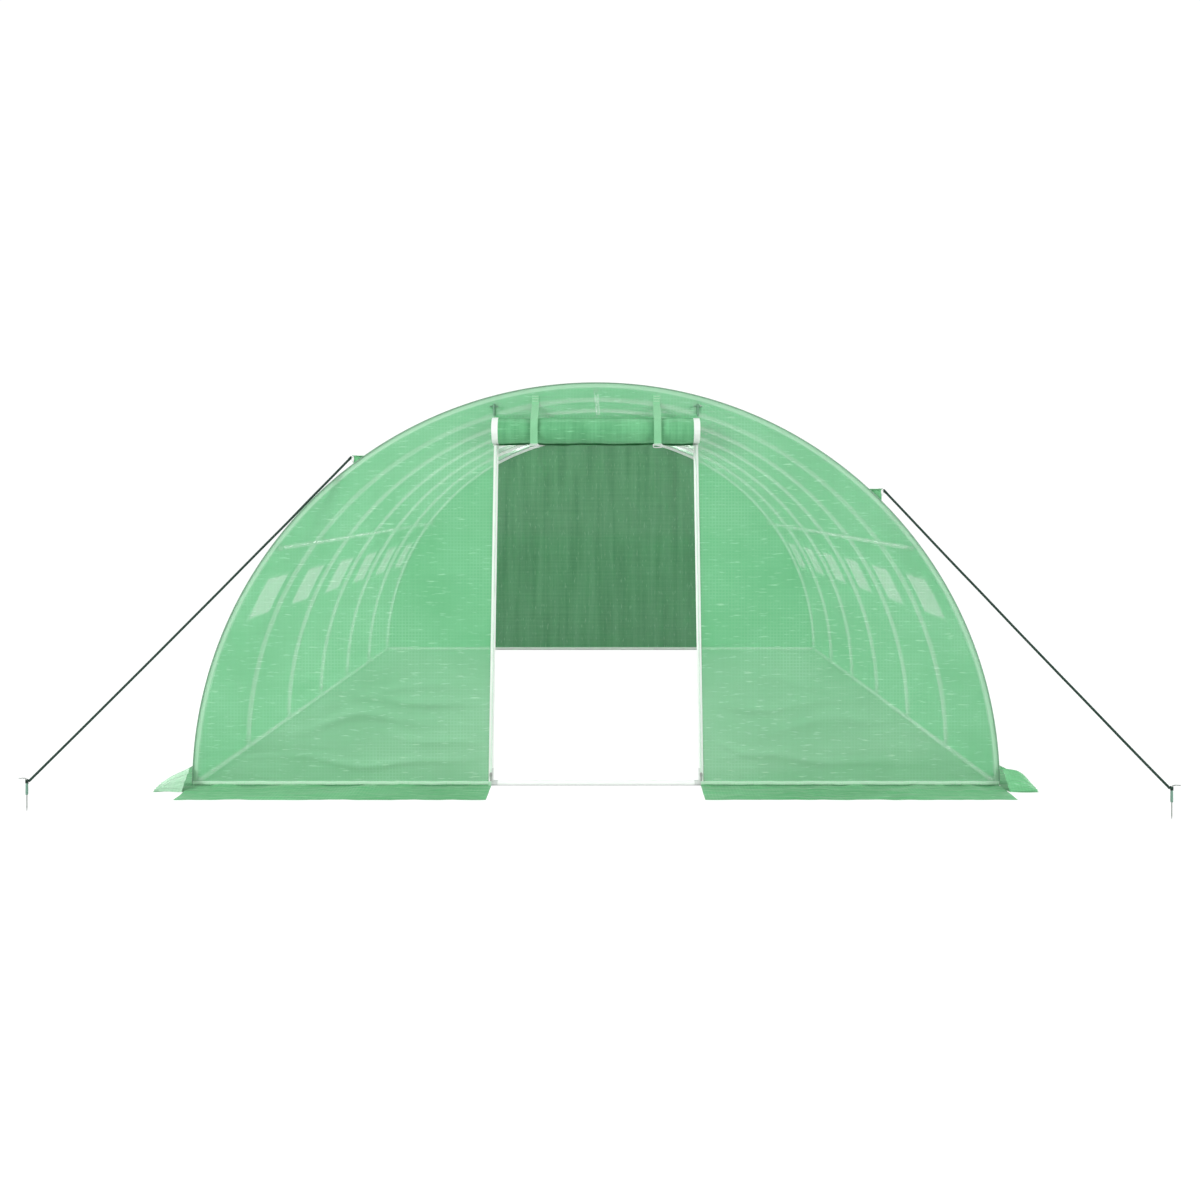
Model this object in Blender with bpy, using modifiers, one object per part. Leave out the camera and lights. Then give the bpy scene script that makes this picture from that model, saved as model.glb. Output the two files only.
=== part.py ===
"""Walk-in tunnel greenhouse: a 6 x 4 x 2 m half-round film tunnel on seven steel hoops.

The hoops stand on ground rails and carry a ridge purlin and two side purlins. A woven film
covers them, with twelve screened windows whose flaps roll down over the arc, a closed rear
wall, and a front wall with a doorway whose door rolls up under the arch on two straps.
Skirts lie on the ground all round, and two guy ropes run forward to pegs.

Units are metres. +Y runs along the tunnel from the door to the rear wall, +X to the right
for someone facing the door, +Z up. The origin is on the ground at the middle of the floor,
and the hoops' arcs are centred on the ground line x = 0, z = 0.
"""

import math

import bmesh
import bpy

# --- Driving dimensions ---------------------------------------------------------------
# Frame
TUNNEL_LENGTH = 6.0  # first hoop to last hoop, centre to centre
BAYS = 6  # equal spaces between hoops
HOOP_RADIUS = 1.985  # to the centre of the hoop's tube
TUBE_DIAMETER = 0.025
SIDE_PURLIN_ANGLE = 37.0  # degrees above the ground
CLEARANCE = 0.0003  # between pieces that touch

# Cover
FILM_THICKNESS = 0.003
ARC_STEP = 6.0  # the largest angle between two stations of an arc, degrees
SCREEN_THICKNESS = 0.002

# Windows, one in each bay on each side; angles are degrees above the ground
WINDOW_LOW_ANGLE = 23.3
WINDOW_HIGH_ANGLE = 30.0
WINDOW_LENGTH = 0.46
WINDOW_SHIFT = 0.15  # from the middle of its bay towards the rear
FLAP_RISE = 1.9  # from the window's top edge to the flap
FLAP_SPREAD = 3.8  # the arc that the rolled flap takes
FLAP_THICKNESS = 0.024
FLAP_OVERHANG = 0.02  # beyond the window at each end
FLAP_CLEARANCE = 0.001

# Doorway: the posts stand a little wider apart at the foot than at the arch
DOOR_FOOT_WIDTH = 1.046  # post centre to post centre on the ground rail
DOOR_HEAD_WIDTH = 0.988  # the same where the posts meet the arch
DOOR_HEAD_DROP = 0.1775  # from the arch's outer line to the top edge of the cut-out
FILM_OVER_POST = 0.0045  # how far the front film reaches past a post's centre
ZIP_WIDTH = 0.014
ZIP_THICKNESS = 0.0015

# Rolled door and its straps
ROLL_RADIUS = 0.0725
ROLL_LAP = 0.0175  # how far the door reaches past the film's edge on each side
ROLL_DROP = 0.0654  # from the doorway's head to the roll's axis
TIE_WIDTH = 0.036
TIE_THICKNESS = 0.002
TIE_SPACING = 0.60
TIE_RISE = 0.117  # from the doorway's head to a strap's top
TIE_LEAVES_FILM = 0.073  # from the head to where a strap turns outwards over the roll
TIE_STEP = 20.0  # degrees between a strap's points round the roll
TIE_TAIL = 0.075  # below the roll's axis

# Skirts on the ground
END_SKIRT_DEPTH = 0.32
END_SKIRT_INSET = 0.001  # from the hoops' outer line
SIDE_SKIRT_WIDTH = 0.155
SIDE_SKIRT_OVERRUN = 0.17  # past the first and last hoops

# Guy ropes: tabs on the front hoop, and pegs on the ground beyond it
ROPE_DIAMETER = 0.010
TAB_WIDTH = 0.030
TAB_THICKNESS = 0.003
TABS = {"left": (54.8, 0.0532), "right": (47.3, 0.0628)}  # degrees above the ground, reach
PEG_DIAMETER = 0.006
PEG_HEIGHT = 0.155
PEG_ARM = 0.040
# How far each peg stands outside the hoops' centre line, and ahead of the front hoop
PEGS = {"left": (0.603, 0.567), "right": (0.578, 0.720)}

# The ropes' routes from tab to peg, each one drawn tight with a few millimetres of sag
LEFT_ROPE = [
    (-1.213, -3.001, 1.632),
    (-1.311, -3.041, 1.523),
    (-1.409, -3.081, 1.415),
    (-1.506, -3.121, 1.306),
    (-1.604, -3.161, 1.199),
    (-1.702, -3.202, 1.091),
    (-1.799, -3.242, 0.984),
    (-1.897, -3.282, 0.877),
    (-1.995, -3.322, 0.770),
    (-2.092, -3.363, 0.664),
    (-2.190, -3.403, 0.558),
    (-2.288, -3.443, 0.452),
    (-2.385, -3.484, 0.347),
    (-2.483, -3.524, 0.242),
    (-2.581, -3.564, 0.137),
]
RIGHT_ROPE = [
    (1.426, -3.002, 1.468),
    (1.507, -3.053, 1.372),
    (1.588, -3.104, 1.275),
    (1.668, -3.155, 1.179),
    (1.749, -3.206, 1.083),
    (1.830, -3.257, 0.988),
    (1.911, -3.308, 0.892),
    (1.991, -3.359, 0.797),
    (2.072, -3.410, 0.702),
    (2.153, -3.461, 0.607),
    (2.234, -3.512, 0.513),
    (2.315, -3.563, 0.418),
    (2.395, -3.614, 0.324),
    (2.476, -3.665, 0.230),
    (2.557, -3.716, 0.137),
]

# --- Sizes that follow ----------------------------------------------------------------
TUBE_RADIUS = TUBE_DIAMETER / 2
HALF_LENGTH = TUNNEL_LENGTH / 2
BAY = TUNNEL_LENGTH / BAYS
FRAME_OUTER = HOOP_RADIUS + TUBE_RADIUS
RAIL_TOP = TUBE_DIAMETER + CLEARANCE
FOOT_ANGLE = math.degrees(math.asin(RAIL_TOP / HOOP_RADIUS))
WALL_INNER_Y = HALF_LENGTH + TUBE_RADIUS + CLEARANCE
WALL_OUTER_Y = WALL_INNER_Y + FILM_THICKNESS
COVER_INNER = FRAME_OUTER + CLEARANCE
COVER_OUTER = COVER_INNER + FILM_THICKNESS / math.cos(math.radians(ARC_STEP / 2))
FLAP_LOW_ANGLE = WINDOW_HIGH_ANGLE + FLAP_RISE
FLAP_HIGH_ANGLE = FLAP_LOW_ANGLE + FLAP_SPREAD
DOOR_HEAD_HEIGHT = FRAME_OUTER - DOOR_HEAD_DROP
ROLL_HEIGHT = DOOR_HEAD_HEIGHT - ROLL_DROP
ROLL_Y = WALL_OUTER_Y + ZIP_THICKNESS + 2 * CLEARANCE + ROLL_RADIUS

# --- Materials ------------------------------------------------------------------------
# name: (linear colour, roughness, metallic)
FINISHES = {
    "film": ((0.19, 0.53, 0.27), 0.35, 0.0),
    "screen": ((0.45, 0.68, 0.50), 0.60, 0.0),
    "white_tube": ((0.80, 0.82, 0.80), 0.30, 0.0),
    "webbing": ((0.13, 0.42, 0.20), 0.70, 0.0),
    "zip_tape": ((0.82, 0.86, 0.82), 0.55, 0.0),
    "rope": ((0.012, 0.055, 0.038), 0.80, 0.0),
    "steel": ((0.62, 0.62, 0.60), 0.35, 1.0),
}


def clear_scene():
    """Removes every object that the scene opened with."""
    for obj in list(bpy.data.objects):
        bpy.data.objects.remove(obj, do_unlink=True)


def make_materials():
    """One Principled material for each finish."""
    made = {}
    for name, (colour, roughness, metallic) in FINISHES.items():
        material = bpy.data.materials.new(name)
        material.use_nodes = True
        shader = material.node_tree.nodes["Principled BSDF"]
        shader.inputs["Base Color"].default_value = (*colour, 1.0)
        shader.inputs["Roughness"].default_value = roughness
        shader.inputs["Metallic"].default_value = metallic
        made[name] = material
    return made


def add_object(name, data, material, parent=None):
    """Links a new object with this mesh or curve into the greenhouse's collection."""
    obj = bpy.data.objects.new(name, data)
    data.materials.append(material)
    greenhouse.objects.link(obj)
    obj.parent = parent
    return obj


def add_axis(name):
    """An empty at the origin, where a moving piece's joint axis passes."""
    empty = bpy.data.objects.new(name, None)
    empty.empty_display_size = 0.2
    greenhouse.objects.link(empty)
    return empty


# --- Shapes ---------------------------------------------------------------------------
def on_arc(radius, degrees):
    """(x, z) of a point of the tunnel's section, the angle measured up from +X."""
    angle = math.radians(degrees)
    return radius * math.cos(angle), radius * math.sin(angle)


def hoop_stations():
    """Angles round a hoop from foot to foot, with one at each edge of the windows."""
    keys = [FOOT_ANGLE, WINDOW_LOW_ANGLE, WINDOW_HIGH_ANGLE, 90.0]
    keys += [180.0 - angle for angle in reversed(keys[:-1])]
    stations = [FOOT_ANGLE]
    for low, high in zip(keys, keys[1:]):
        steps = math.ceil((high - low) / ARC_STEP)
        stations += [low + (high - low) * (i + 1) / steps for i in range(steps)]
    return stations


def film_stations():
    """The hoops' angles, and the ground on each side."""
    return [0.0, *hoop_stations(), 180.0]


def chord_lines(stations, radius, offset):
    """(middle angle in radians, distance from the axis) of each straight run between two
    stations of an arc, moved outwards by offset."""
    runs = []
    for low, high in zip(stations, stations[1:]):
        apothem = radius * math.cos(math.radians((high - low) / 2))
        runs.append((math.radians((low + high) / 2), apothem + offset))
    return runs


def hoop_inside():
    """The runs of the hoops' inner side, less the gap that touching pieces keep."""
    return chord_lines(hoop_stations(), HOOP_RADIUS, -TUBE_RADIUS - CLEARANCE)


def tube(name, points, diameter, material):
    """A round bar through these points."""
    curve = bpy.data.curves.new(name, "CURVE")
    curve.dimensions = "3D"
    curve.bevel_depth = diameter / 2
    curve.bevel_resolution = 2
    curve.use_fill_caps = True
    spline = curve.splines.new("POLY")
    spline.points.add(len(points) - 1)
    for place, point in zip(spline.points, points):
        place.co = (*point, 1.0)
    return add_object(name, curve, material)


PLANES = {
    "XY": (0.0, 0.0, 0.0),
    "XZ": (math.pi / 2, 0.0, 0.0),
    "YZ": (math.pi / 2, 0.0, math.pi / 2),
}


def plate(name, outline, plane, middle, thickness, material, parent=None):
    """A flat outline in this plane, with its thickness either side of middle."""
    curve = bpy.data.curves.new(name, "CURVE")
    curve.dimensions = "2D"
    curve.fill_mode = "BOTH"
    curve.extrude = thickness / 2
    spline = curve.splines.new("POLY")
    spline.points.add(len(outline) - 1)
    spline.use_cyclic_u = True
    for place, point in zip(spline.points, outline):
        place.co = (*point, 0.0, 1.0)
    obj = add_object(name, curve, material, parent)
    obj.rotation_euler = PLANES[plane]
    across = {"XY": "z", "XZ": "y", "YZ": "x"}[plane]
    setattr(obj.location, across, middle)
    return obj


def box_outline(low_x, high_x, low_y, high_y):
    """The four corners of a rectangle."""
    return [(low_x, low_y), (high_x, low_y), (high_x, high_y), (low_x, high_y)]


def arc_sheet(name, angles, stations, holes, thickness, material):
    """A film bent over the hoops: a grid bent to the arc, less its holes, then given its wall.

    angles are its lines round the arc and stations its lines along Y. A hole is
    (low angle, high angle, low y, high y).
    """
    bm = bmesh.new()
    bmesh.ops.create_grid(bm, x_segments=len(angles) - 1, y_segments=len(stations) - 1, size=1)
    rows = [round((v.co.x + 1) / 2 * (len(angles) - 1)) for v in bm.verts]
    columns = [round((v.co.y + 1) / 2 * (len(stations) - 1)) for v in bm.verts]
    places = {}
    for vertex, row, column in zip(bm.verts, rows, columns):
        places[vertex] = (angles[row], stations[column])
        x, z = on_arc(COVER_INNER, angles[row])
        vertex.co = (x, stations[column], z)
    cut = []
    for face in bm.faces:
        angle = sum(places[v][0] for v in face.verts) / len(face.verts)
        y = sum(places[v][1] for v in face.verts) / len(face.verts)
        if any(a0 < angle < a1 and y0 < y < y1 for a0, a1, y0, y1 in holes):
            cut.append(face)
    bmesh.ops.delete(bm, geom=cut, context="FACES")
    bmesh.ops.recalc_face_normals(bm, faces=bm.faces)
    top = max(bm.faces, key=lambda face: face.calc_center_median().z)
    if top.normal.dot(top.calc_center_median()) < 0:
        bmesh.ops.reverse_faces(bm, faces=bm.faces)
    mesh = bpy.data.meshes.new(name)
    bm.to_mesh(mesh)
    bm.free()
    obj = add_object(name, mesh, material)
    wall = obj.modifiers.new("wall", "SOLIDIFY")
    wall.thickness = thickness
    wall.offset = 1.0
    wall.use_even_offset = True
    return obj


# --- Sub-assemblies -------------------------------------------------------------------
def bay_middles():
    """The Y of the middle of each bay, front to rear."""
    return [-HALF_LENGTH + BAY * (i + 0.5) for i in range(BAYS)]


def make_hoops(materials):
    """The half-round hoops, whose feet stand on the side rails."""
    arc = [on_arc(HOOP_RADIUS, angle) for angle in hoop_stations()]
    for i in range(BAYS + 1):
        points = [(x, 0.0, z) for x, z in arc]
        hoop = tube(f"hoop_{i + 1}", points, TUBE_DIAMETER, materials["white_tube"])
        hoop.location.y = -HALF_LENGTH + BAY * i


def make_ground_rails(materials):
    """The side rails under the hoops' feet, and the end rails that butt between them."""
    white = materials["white_tube"]
    end = HALF_LENGTH + TUBE_RADIUS
    for side, x in (("left", -HOOP_RADIUS), ("right", HOOP_RADIUS)):
        points = [(x, -end, TUBE_RADIUS), (x, end, TUBE_RADIUS)]
        tube(f"ground_rail_{side}", points, TUBE_DIAMETER, white)
    reach = HOOP_RADIUS - TUBE_RADIUS - CLEARANCE
    for side, y in (("front", -HALF_LENGTH), ("rear", HALF_LENGTH)):
        points = [(-reach, y, TUBE_RADIUS), (reach, y, TUBE_RADIUS)]
        tube(f"ground_rail_{side}", points, TUBE_DIAMETER, white)


def make_purlins(materials):
    """Three bars along the tunnel, held against the inside of the hoops."""
    end = HALF_LENGTH + TUBE_RADIUS
    purlins = {
        "ridge_purlin": 90.0,
        "side_purlin_left": 180.0 - SIDE_PURLIN_ANGLE,
        "side_purlin_right": SIDE_PURLIN_ANGLE,
    }
    for name, angle in purlins.items():
        turns = [(middle - math.radians(angle), reach) for middle, reach in hoop_inside()]
        seats = [(reach - TUBE_RADIUS) / math.cos(turn) for turn, reach in turns if abs(turn) < 1]
        x, z = on_arc(min(seats), angle)
        tube(name, [(x, -end, z), (x, end, z)], TUBE_DIAMETER, materials["white_tube"])


def post_x(height):
    """Distance of a door post's centre from the middle of the door at this height."""
    share = height / DOOR_HEAD_HEIGHT
    return (DOOR_FOOT_WIDTH + (DOOR_HEAD_WIDTH - DOOR_FOOT_WIDTH) * share) / 2


def make_door_posts(materials):
    """The posts between the front rail and the front hoop."""
    # A post leans inwards, so its cap's outer edge is the highest: it meets the hoop first.
    outer = post_x(DOOR_HEAD_HEIGHT) + TUBE_RADIUS
    rise = TUBE_RADIUS * (post_x(0.0) - post_x(1.0))
    runs = hoop_inside()
    seats = [(reach - outer * math.cos(middle)) / math.sin(middle) for middle, reach in runs]
    top = min(seats) - rise
    foot = RAIL_TOP + CLEARANCE
    for side, sign in (("left", -1), ("right", 1)):
        points = [
            (sign * post_x(foot), -HALF_LENGTH, foot),
            (sign * post_x(top), -HALF_LENGTH, top),
        ]
        tube(f"door_post_{side}", points, TUBE_DIAMETER, materials["white_tube"])


def window_spans():
    """(low y, high y) of the window in each bay."""
    middles = [y + WINDOW_SHIFT for y in bay_middles()]
    return [(y - WINDOW_LENGTH / 2, y + WINDOW_LENGTH / 2) for y in middles]


def make_cover(materials):
    """The roof film with its twelve window holes."""
    stations = [-WALL_OUTER_Y] + [y for span in window_spans() for y in span] + [WALL_OUTER_Y]
    holes = []
    for low_y, high_y in window_spans():
        holes.append((WINDOW_LOW_ANGLE, WINDOW_HIGH_ANGLE, low_y, high_y))
        holes.append((180 - WINDOW_HIGH_ANGLE, 180 - WINDOW_LOW_ANGLE, low_y, high_y))
    film = materials["film"]
    arc_sheet("roof_cover", film_stations(), stations, holes, FILM_THICKNESS, film)


def wall_arc():
    """The arch of an end wall, which lies just inside the cover."""
    return [on_arc(FRAME_OUTER, angle) for angle in film_stations()]


def door_edge(height):
    """Distance of the doorway's film edge from the middle of the door."""
    return post_x(height) - FILM_OVER_POST


def make_end_walls(materials):
    """The front wall with its doorway, and the closed rear wall."""
    middle = (WALL_INNER_Y + WALL_OUTER_Y) / 2
    doorway = [
        (-door_edge(0.0), 0.0),
        (-door_edge(DOOR_HEAD_HEIGHT), DOOR_HEAD_HEIGHT),
        (door_edge(DOOR_HEAD_HEIGHT), DOOR_HEAD_HEIGHT),
        (door_edge(0.0), 0.0),
    ]
    film = materials["film"]
    plate("front_wall", wall_arc() + doorway, "XZ", -middle, FILM_THICKNESS, film)
    plate("rear_wall", wall_arc(), "XZ", middle, FILM_THICKNESS, film)


def make_zip_tapes(materials):
    """The zip tape sewn along each side of the doorway."""
    middle = -(WALL_OUTER_Y + CLEARANCE + ZIP_THICKNESS / 2)
    foot = FILM_THICKNESS + CLEARANCE  # on the skirt
    for side, sign in (("left", -1), ("right", 1)):
        outline = [
            (sign * door_edge(foot), foot),
            (sign * (door_edge(foot) + ZIP_WIDTH), foot),
            (sign * (door_edge(DOOR_HEAD_HEIGHT) + ZIP_WIDTH), DOOR_HEAD_HEIGHT),
            (sign * door_edge(DOOR_HEAD_HEIGHT), DOOR_HEAD_HEIGHT),
        ]
        tape = materials["zip_tape"]
        plate(f"zip_tape_{side}", outline, "XZ", middle, ZIP_THICKNESS, tape)


def make_screens(materials):
    """The insect screens set in the window holes."""
    inset = math.degrees(CLEARANCE / COVER_INNER)
    low = WINDOW_LOW_ANGLE + inset
    high = WINDOW_HIGH_ANGLE - inset
    angles = [low, (WINDOW_LOW_ANGLE + WINDOW_HIGH_ANGLE) / 2, high]
    for i, (low_y, high_y) in enumerate(window_spans()):
        stations = [low_y + CLEARANCE, high_y - CLEARANCE]
        for side in ("left", "right"):
            lines = angles if side == "right" else [180.0 - angle for angle in angles]
            name = f"window_screen_{side}_{i + 1}"
            arc_sheet(name, lines, stations, [], SCREEN_THICKNESS, materials["screen"])


def flap_section():
    """The section of a window flap rolled flat, as (x, z) on the right-hand side."""
    half_step = (FLAP_HIGH_ANGLE - FLAP_LOW_ANGLE) / 4
    inner = (COVER_OUTER + FLAP_CLEARANCE) / math.cos(math.radians(half_step))
    outer = inner + FLAP_THICKNESS
    middle = (FLAP_LOW_ANGLE + FLAP_HIGH_ANGLE) / 2
    inner_side = [FLAP_LOW_ANGLE + half_step, middle, FLAP_HIGH_ANGLE - half_step]
    section = [on_arc(inner, angle) for angle in inner_side]
    section.append(on_arc((inner + outer) / 2, FLAP_HIGH_ANGLE))
    section += [on_arc(outer, angle) for angle in reversed(inner_side)]
    section.append(on_arc((inner + outer) / 2, FLAP_LOW_ANGLE))
    return section


def make_flaps(materials):
    """The rolled flaps above the windows, which turn down about the tunnel's centre line."""
    axis = add_axis("flap_axis")
    length = WINDOW_LENGTH + 2 * FLAP_OVERHANG
    for i, (low_y, high_y) in enumerate(window_spans()):
        for side, sign in (("left", -1), ("right", 1)):
            outline = [(sign * x, z) for x, z in flap_section()]
            name = f"window_flap_{side}_{i + 1}"
            middle = (low_y + high_y) / 2
            plate(name, outline, "XZ", middle, length, materials["film"], axis)


def make_door_roll(materials):
    """The door rolled up under the arch, which comes down along the doorway."""
    axis = add_axis("door_axis")
    bm = bmesh.new()
    bmesh.ops.create_cone(
        bm,
        cap_ends=True,
        segments=24,
        radius1=ROLL_RADIUS,
        radius2=ROLL_RADIUS,
        depth=2 * (door_edge(ROLL_HEIGHT) + ROLL_LAP),
    )
    mesh = bpy.data.meshes.new("door_roll")
    bm.to_mesh(mesh)
    bm.free()
    mesh.shade_smooth()
    mesh.set_sharp_from_angle(angle=math.radians(40))
    roll = add_object("door_roll", mesh, materials["film"], axis)
    roll.rotation_euler.y = math.pi / 2
    roll.location = (0.0, -ROLL_Y, ROLL_HEIGHT)


def tie_path():
    """A strap's centre line as (y, z): down the wall, over the roll's front, and hanging."""
    against_wall = -(WALL_OUTER_Y + CLEARANCE + TIE_THICKNESS / 2)
    # Between its points the strap runs straight, so its points stand out that much further.
    apothem = ROLL_RADIUS + CLEARANCE + TIE_THICKNESS / 2
    round_roll = apothem / math.cos(math.radians(TIE_STEP / 2))
    path = [(against_wall, DOOR_HEAD_HEIGHT + rise) for rise in (TIE_RISE, TIE_LEAVES_FILM)]
    for step in (3, 2, 1, 0):
        angle = math.radians(step * TIE_STEP)
        y = -ROLL_Y - round_roll * math.cos(angle)
        path.append((y, ROLL_HEIGHT + round_roll * math.sin(angle)))
    path.append((path[-1][0], ROLL_HEIGHT - TIE_TAIL))
    return path


def ribbon_outline(path, thickness):
    """The outline of a band of this thickness along an open path of (a, b) points."""
    sides = ([], [])
    for i, (a, b) in enumerate(path):
        before = path[max(i - 1, 0)]
        after = path[min(i + 1, len(path) - 1)]
        run_a, run_b = after[0] - before[0], after[1] - before[1]
        size = math.hypot(run_a, run_b)
        across = (-run_b / size * thickness / 2, run_a / size * thickness / 2)
        sides[0].append((a + across[0], b + across[1]))
        sides[1].append((a - across[0], b - across[1]))
    return sides[0] + sides[1][::-1]


def make_ties(materials):
    """The two straps that hold the rolled door."""
    outline = ribbon_outline(tie_path(), TIE_THICKNESS)
    for side, x in (("left", -TIE_SPACING / 2), ("right", TIE_SPACING / 2)):
        plate(f"door_tie_{side}", outline, "YZ", x, TIE_WIDTH, materials["webbing"])


def make_skirts(materials):
    """Film lying on the ground outside the walls."""
    film = materials["film"]
    middle = FILM_THICKNESS / 2
    wall = WALL_OUTER_Y + CLEARANCE
    edge = wall + END_SKIRT_DEPTH
    outer = FRAME_OUTER - END_SKIRT_INSET
    outlines = {
        "front_skirt_left": box_outline(-outer, -door_edge(0.0), -edge, -wall),
        "front_skirt_right": box_outline(door_edge(0.0), outer, -edge, -wall),
        "rear_skirt": box_outline(-outer, outer, wall, edge),
    }
    inner = COVER_OUTER + CLEARANCE
    reach = FRAME_OUTER + SIDE_SKIRT_WIDTH
    end = HALF_LENGTH + SIDE_SKIRT_OVERRUN
    outlines["side_skirt_left"] = box_outline(-reach, -inner, -end, end)
    outlines["side_skirt_right"] = box_outline(inner, reach, -end, end)
    for name, outline in outlines.items():
        plate(name, outline, "XY", middle, FILM_THICKNESS, film)


def make_rope_tabs(materials):
    """The webbing tabs on the front hoop that the guy ropes are tied to."""
    cover = chord_lines(film_stations(), COVER_INNER, FILM_THICKNESS)
    for side, sign in (("left", -1), ("right", 1)):
        angle, reach = TABS[side]
        seat, low = on_arc(COVER_OUTER, angle)
        runs = [run for run in cover if math.cos(run[0]) > 0]
        root = min((far - low * math.sin(middle)) / math.cos(middle) for middle, far in runs)
        ends = sorted((sign * (root + CLEARANCE), sign * (seat + reach)))
        outline = box_outline(*ends, low, low + TAB_THICKNESS)
        name = f"rope_tab_{side}"
        plate(name, outline, "XZ", -HALF_LENGTH, TAB_WIDTH, materials["webbing"])


def smooth_route(route, steps):
    """Points read from a smooth curve (Catmull-Rom) through the route, steps to a span."""
    ends = [route[0], *route, route[-1]]
    points = [route[0]]
    for a, b, c, d in zip(ends, ends[1:], ends[2:], ends[3:]):
        for i in range(1, steps + 1):
            t = i / steps
            weights = (
                (-(t**3) + 2 * t**2 - t) / 2,
                (3 * t**3 - 5 * t**2 + 2) / 2,
                (-3 * t**3 + 4 * t**2 + t) / 2,
                (t**3 - t**2) / 2,
            )
            spots = zip(a, b, c, d)
            points.append(tuple(sum(w * p for w, p in zip(weights, spot)) for spot in spots))
    return points


def make_guy_ropes(materials):
    """The two guy ropes, and the hooked pegs that hold them."""
    for side, route in (("left", LEFT_ROPE), ("right", RIGHT_ROPE)):
        points = smooth_route(route, 3)
        tube(f"guy_rope_{side}", points, ROPE_DIAMETER, materials["rope"])
    top = PEG_HEIGHT - PEG_DIAMETER / 2
    bend = PEG_DIAMETER
    for side, outwards in (("left", -1), ("right", 1)):
        beyond, ahead = PEGS[side]
        x = outwards * (HOOP_RADIUS + beyond)
        y = -HALF_LENGTH - ahead
        points = [
            (x, y, 0.0),
            (x, y, top - bend),
            (x + outwards * bend * 0.3, y, top - bend * 0.3),
            (x + outwards * bend, y, top),
            (x + outwards * PEG_ARM, y, top),
        ]
        tube(f"peg_{side}", points, PEG_DIAMETER, materials["steel"])


clear_scene()
greenhouse = bpy.data.collections.new("tunnel_greenhouse")
bpy.context.scene.collection.children.link(greenhouse)
finishes = make_materials()
for make in (
    make_hoops,
    make_ground_rails,
    make_purlins,
    make_door_posts,
    make_cover,
    make_end_walls,
    make_zip_tapes,
    make_screens,
    make_flaps,
    make_door_roll,
    make_ties,
    make_skirts,
    make_rope_tabs,
    make_guy_ropes,
):
    make(finishes)
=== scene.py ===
"""Tunnel greenhouse: the finished look of a 6 x 4 x 2 m walk-in film tunnel.

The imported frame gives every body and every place. This script gives each piece its fine
surface and its finish: powder-coated tube with its sleeves, tees and clamps, woven
polyethylene film with its scrim, hems and wrinkles, the rolled door, the rolled window flaps,
netting, zips, straps, ropes and pegs.

Units are metres, +Z up, +Y from the door to the rear wall, origin on the ground at the middle.
"""

import logging
import math
from dataclasses import dataclass
from enum import Enum

import bpy
import numpy as np
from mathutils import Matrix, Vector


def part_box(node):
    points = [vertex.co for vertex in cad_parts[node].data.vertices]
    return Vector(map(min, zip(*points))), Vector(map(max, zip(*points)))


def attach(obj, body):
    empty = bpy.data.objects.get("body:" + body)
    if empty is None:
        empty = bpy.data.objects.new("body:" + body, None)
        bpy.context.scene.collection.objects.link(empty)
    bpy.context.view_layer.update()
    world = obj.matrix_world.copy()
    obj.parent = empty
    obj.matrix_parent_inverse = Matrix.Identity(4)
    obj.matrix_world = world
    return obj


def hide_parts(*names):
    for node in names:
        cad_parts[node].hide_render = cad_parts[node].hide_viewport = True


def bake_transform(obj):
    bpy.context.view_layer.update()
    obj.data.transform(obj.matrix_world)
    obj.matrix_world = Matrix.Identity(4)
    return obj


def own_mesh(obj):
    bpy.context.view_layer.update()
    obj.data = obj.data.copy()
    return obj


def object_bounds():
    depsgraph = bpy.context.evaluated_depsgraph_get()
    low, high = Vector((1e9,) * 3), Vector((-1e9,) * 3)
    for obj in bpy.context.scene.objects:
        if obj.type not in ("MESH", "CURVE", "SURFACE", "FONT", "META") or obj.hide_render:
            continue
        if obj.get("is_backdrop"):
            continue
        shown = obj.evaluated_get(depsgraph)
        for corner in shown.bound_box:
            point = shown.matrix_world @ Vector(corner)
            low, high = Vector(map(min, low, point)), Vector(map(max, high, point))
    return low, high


Array = np.ndarray
log = logging.getLogger("greenhouse")

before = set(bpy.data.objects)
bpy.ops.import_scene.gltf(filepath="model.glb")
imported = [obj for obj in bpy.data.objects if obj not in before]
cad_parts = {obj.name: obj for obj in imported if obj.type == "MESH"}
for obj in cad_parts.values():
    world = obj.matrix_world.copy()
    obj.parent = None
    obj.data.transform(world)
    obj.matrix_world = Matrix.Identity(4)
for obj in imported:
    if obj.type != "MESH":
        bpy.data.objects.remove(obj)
CAD_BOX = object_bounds()

X_AXIS = np.array([1.0, 0.0, 0.0])
Y_AXIS = np.array([0.0, 1.0, 0.0])
Z_AXIS = np.array([0.0, 0.0, 1.0])

BAYS = 6
TUBE_RADIUS = 0.0125
HOOP_Y = [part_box(f"hoop_{i + 1}")[0].y + TUBE_RADIUS for i in range(BAYS + 1)]
HALF_LENGTH = HOOP_Y[-1]
HOOP_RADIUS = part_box("ground_rail_right")[1].x - TUBE_RADIUS
COVER_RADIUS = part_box("roof_cover")[1].z - 0.0030  # inner side of the roof film
WALL_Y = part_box("front_wall")[0].y + 0.0015  # middle of the front film


class Side(Enum):
    """The two long sides, by the sign of X."""

    LEFT = -1
    RIGHT = 1

    @property
    def label(self) -> str:
        """The side's name as the nodes spell it."""
        return self.name.lower()


# --- Surfaces -------------------------------------------------------------------------


@dataclass
class Patch:
    """A stretch of surface: points, and faces grouped by corner count with their UVs."""

    points: Array
    faces: list[tuple[Array, Array]]
    finish: int = 0

    def moved(self, offset: Array) -> "Patch":
        """The same patch carried by an offset."""
        return Patch(self.points + np.asarray(offset, float), self.faces, self.finish)


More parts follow.
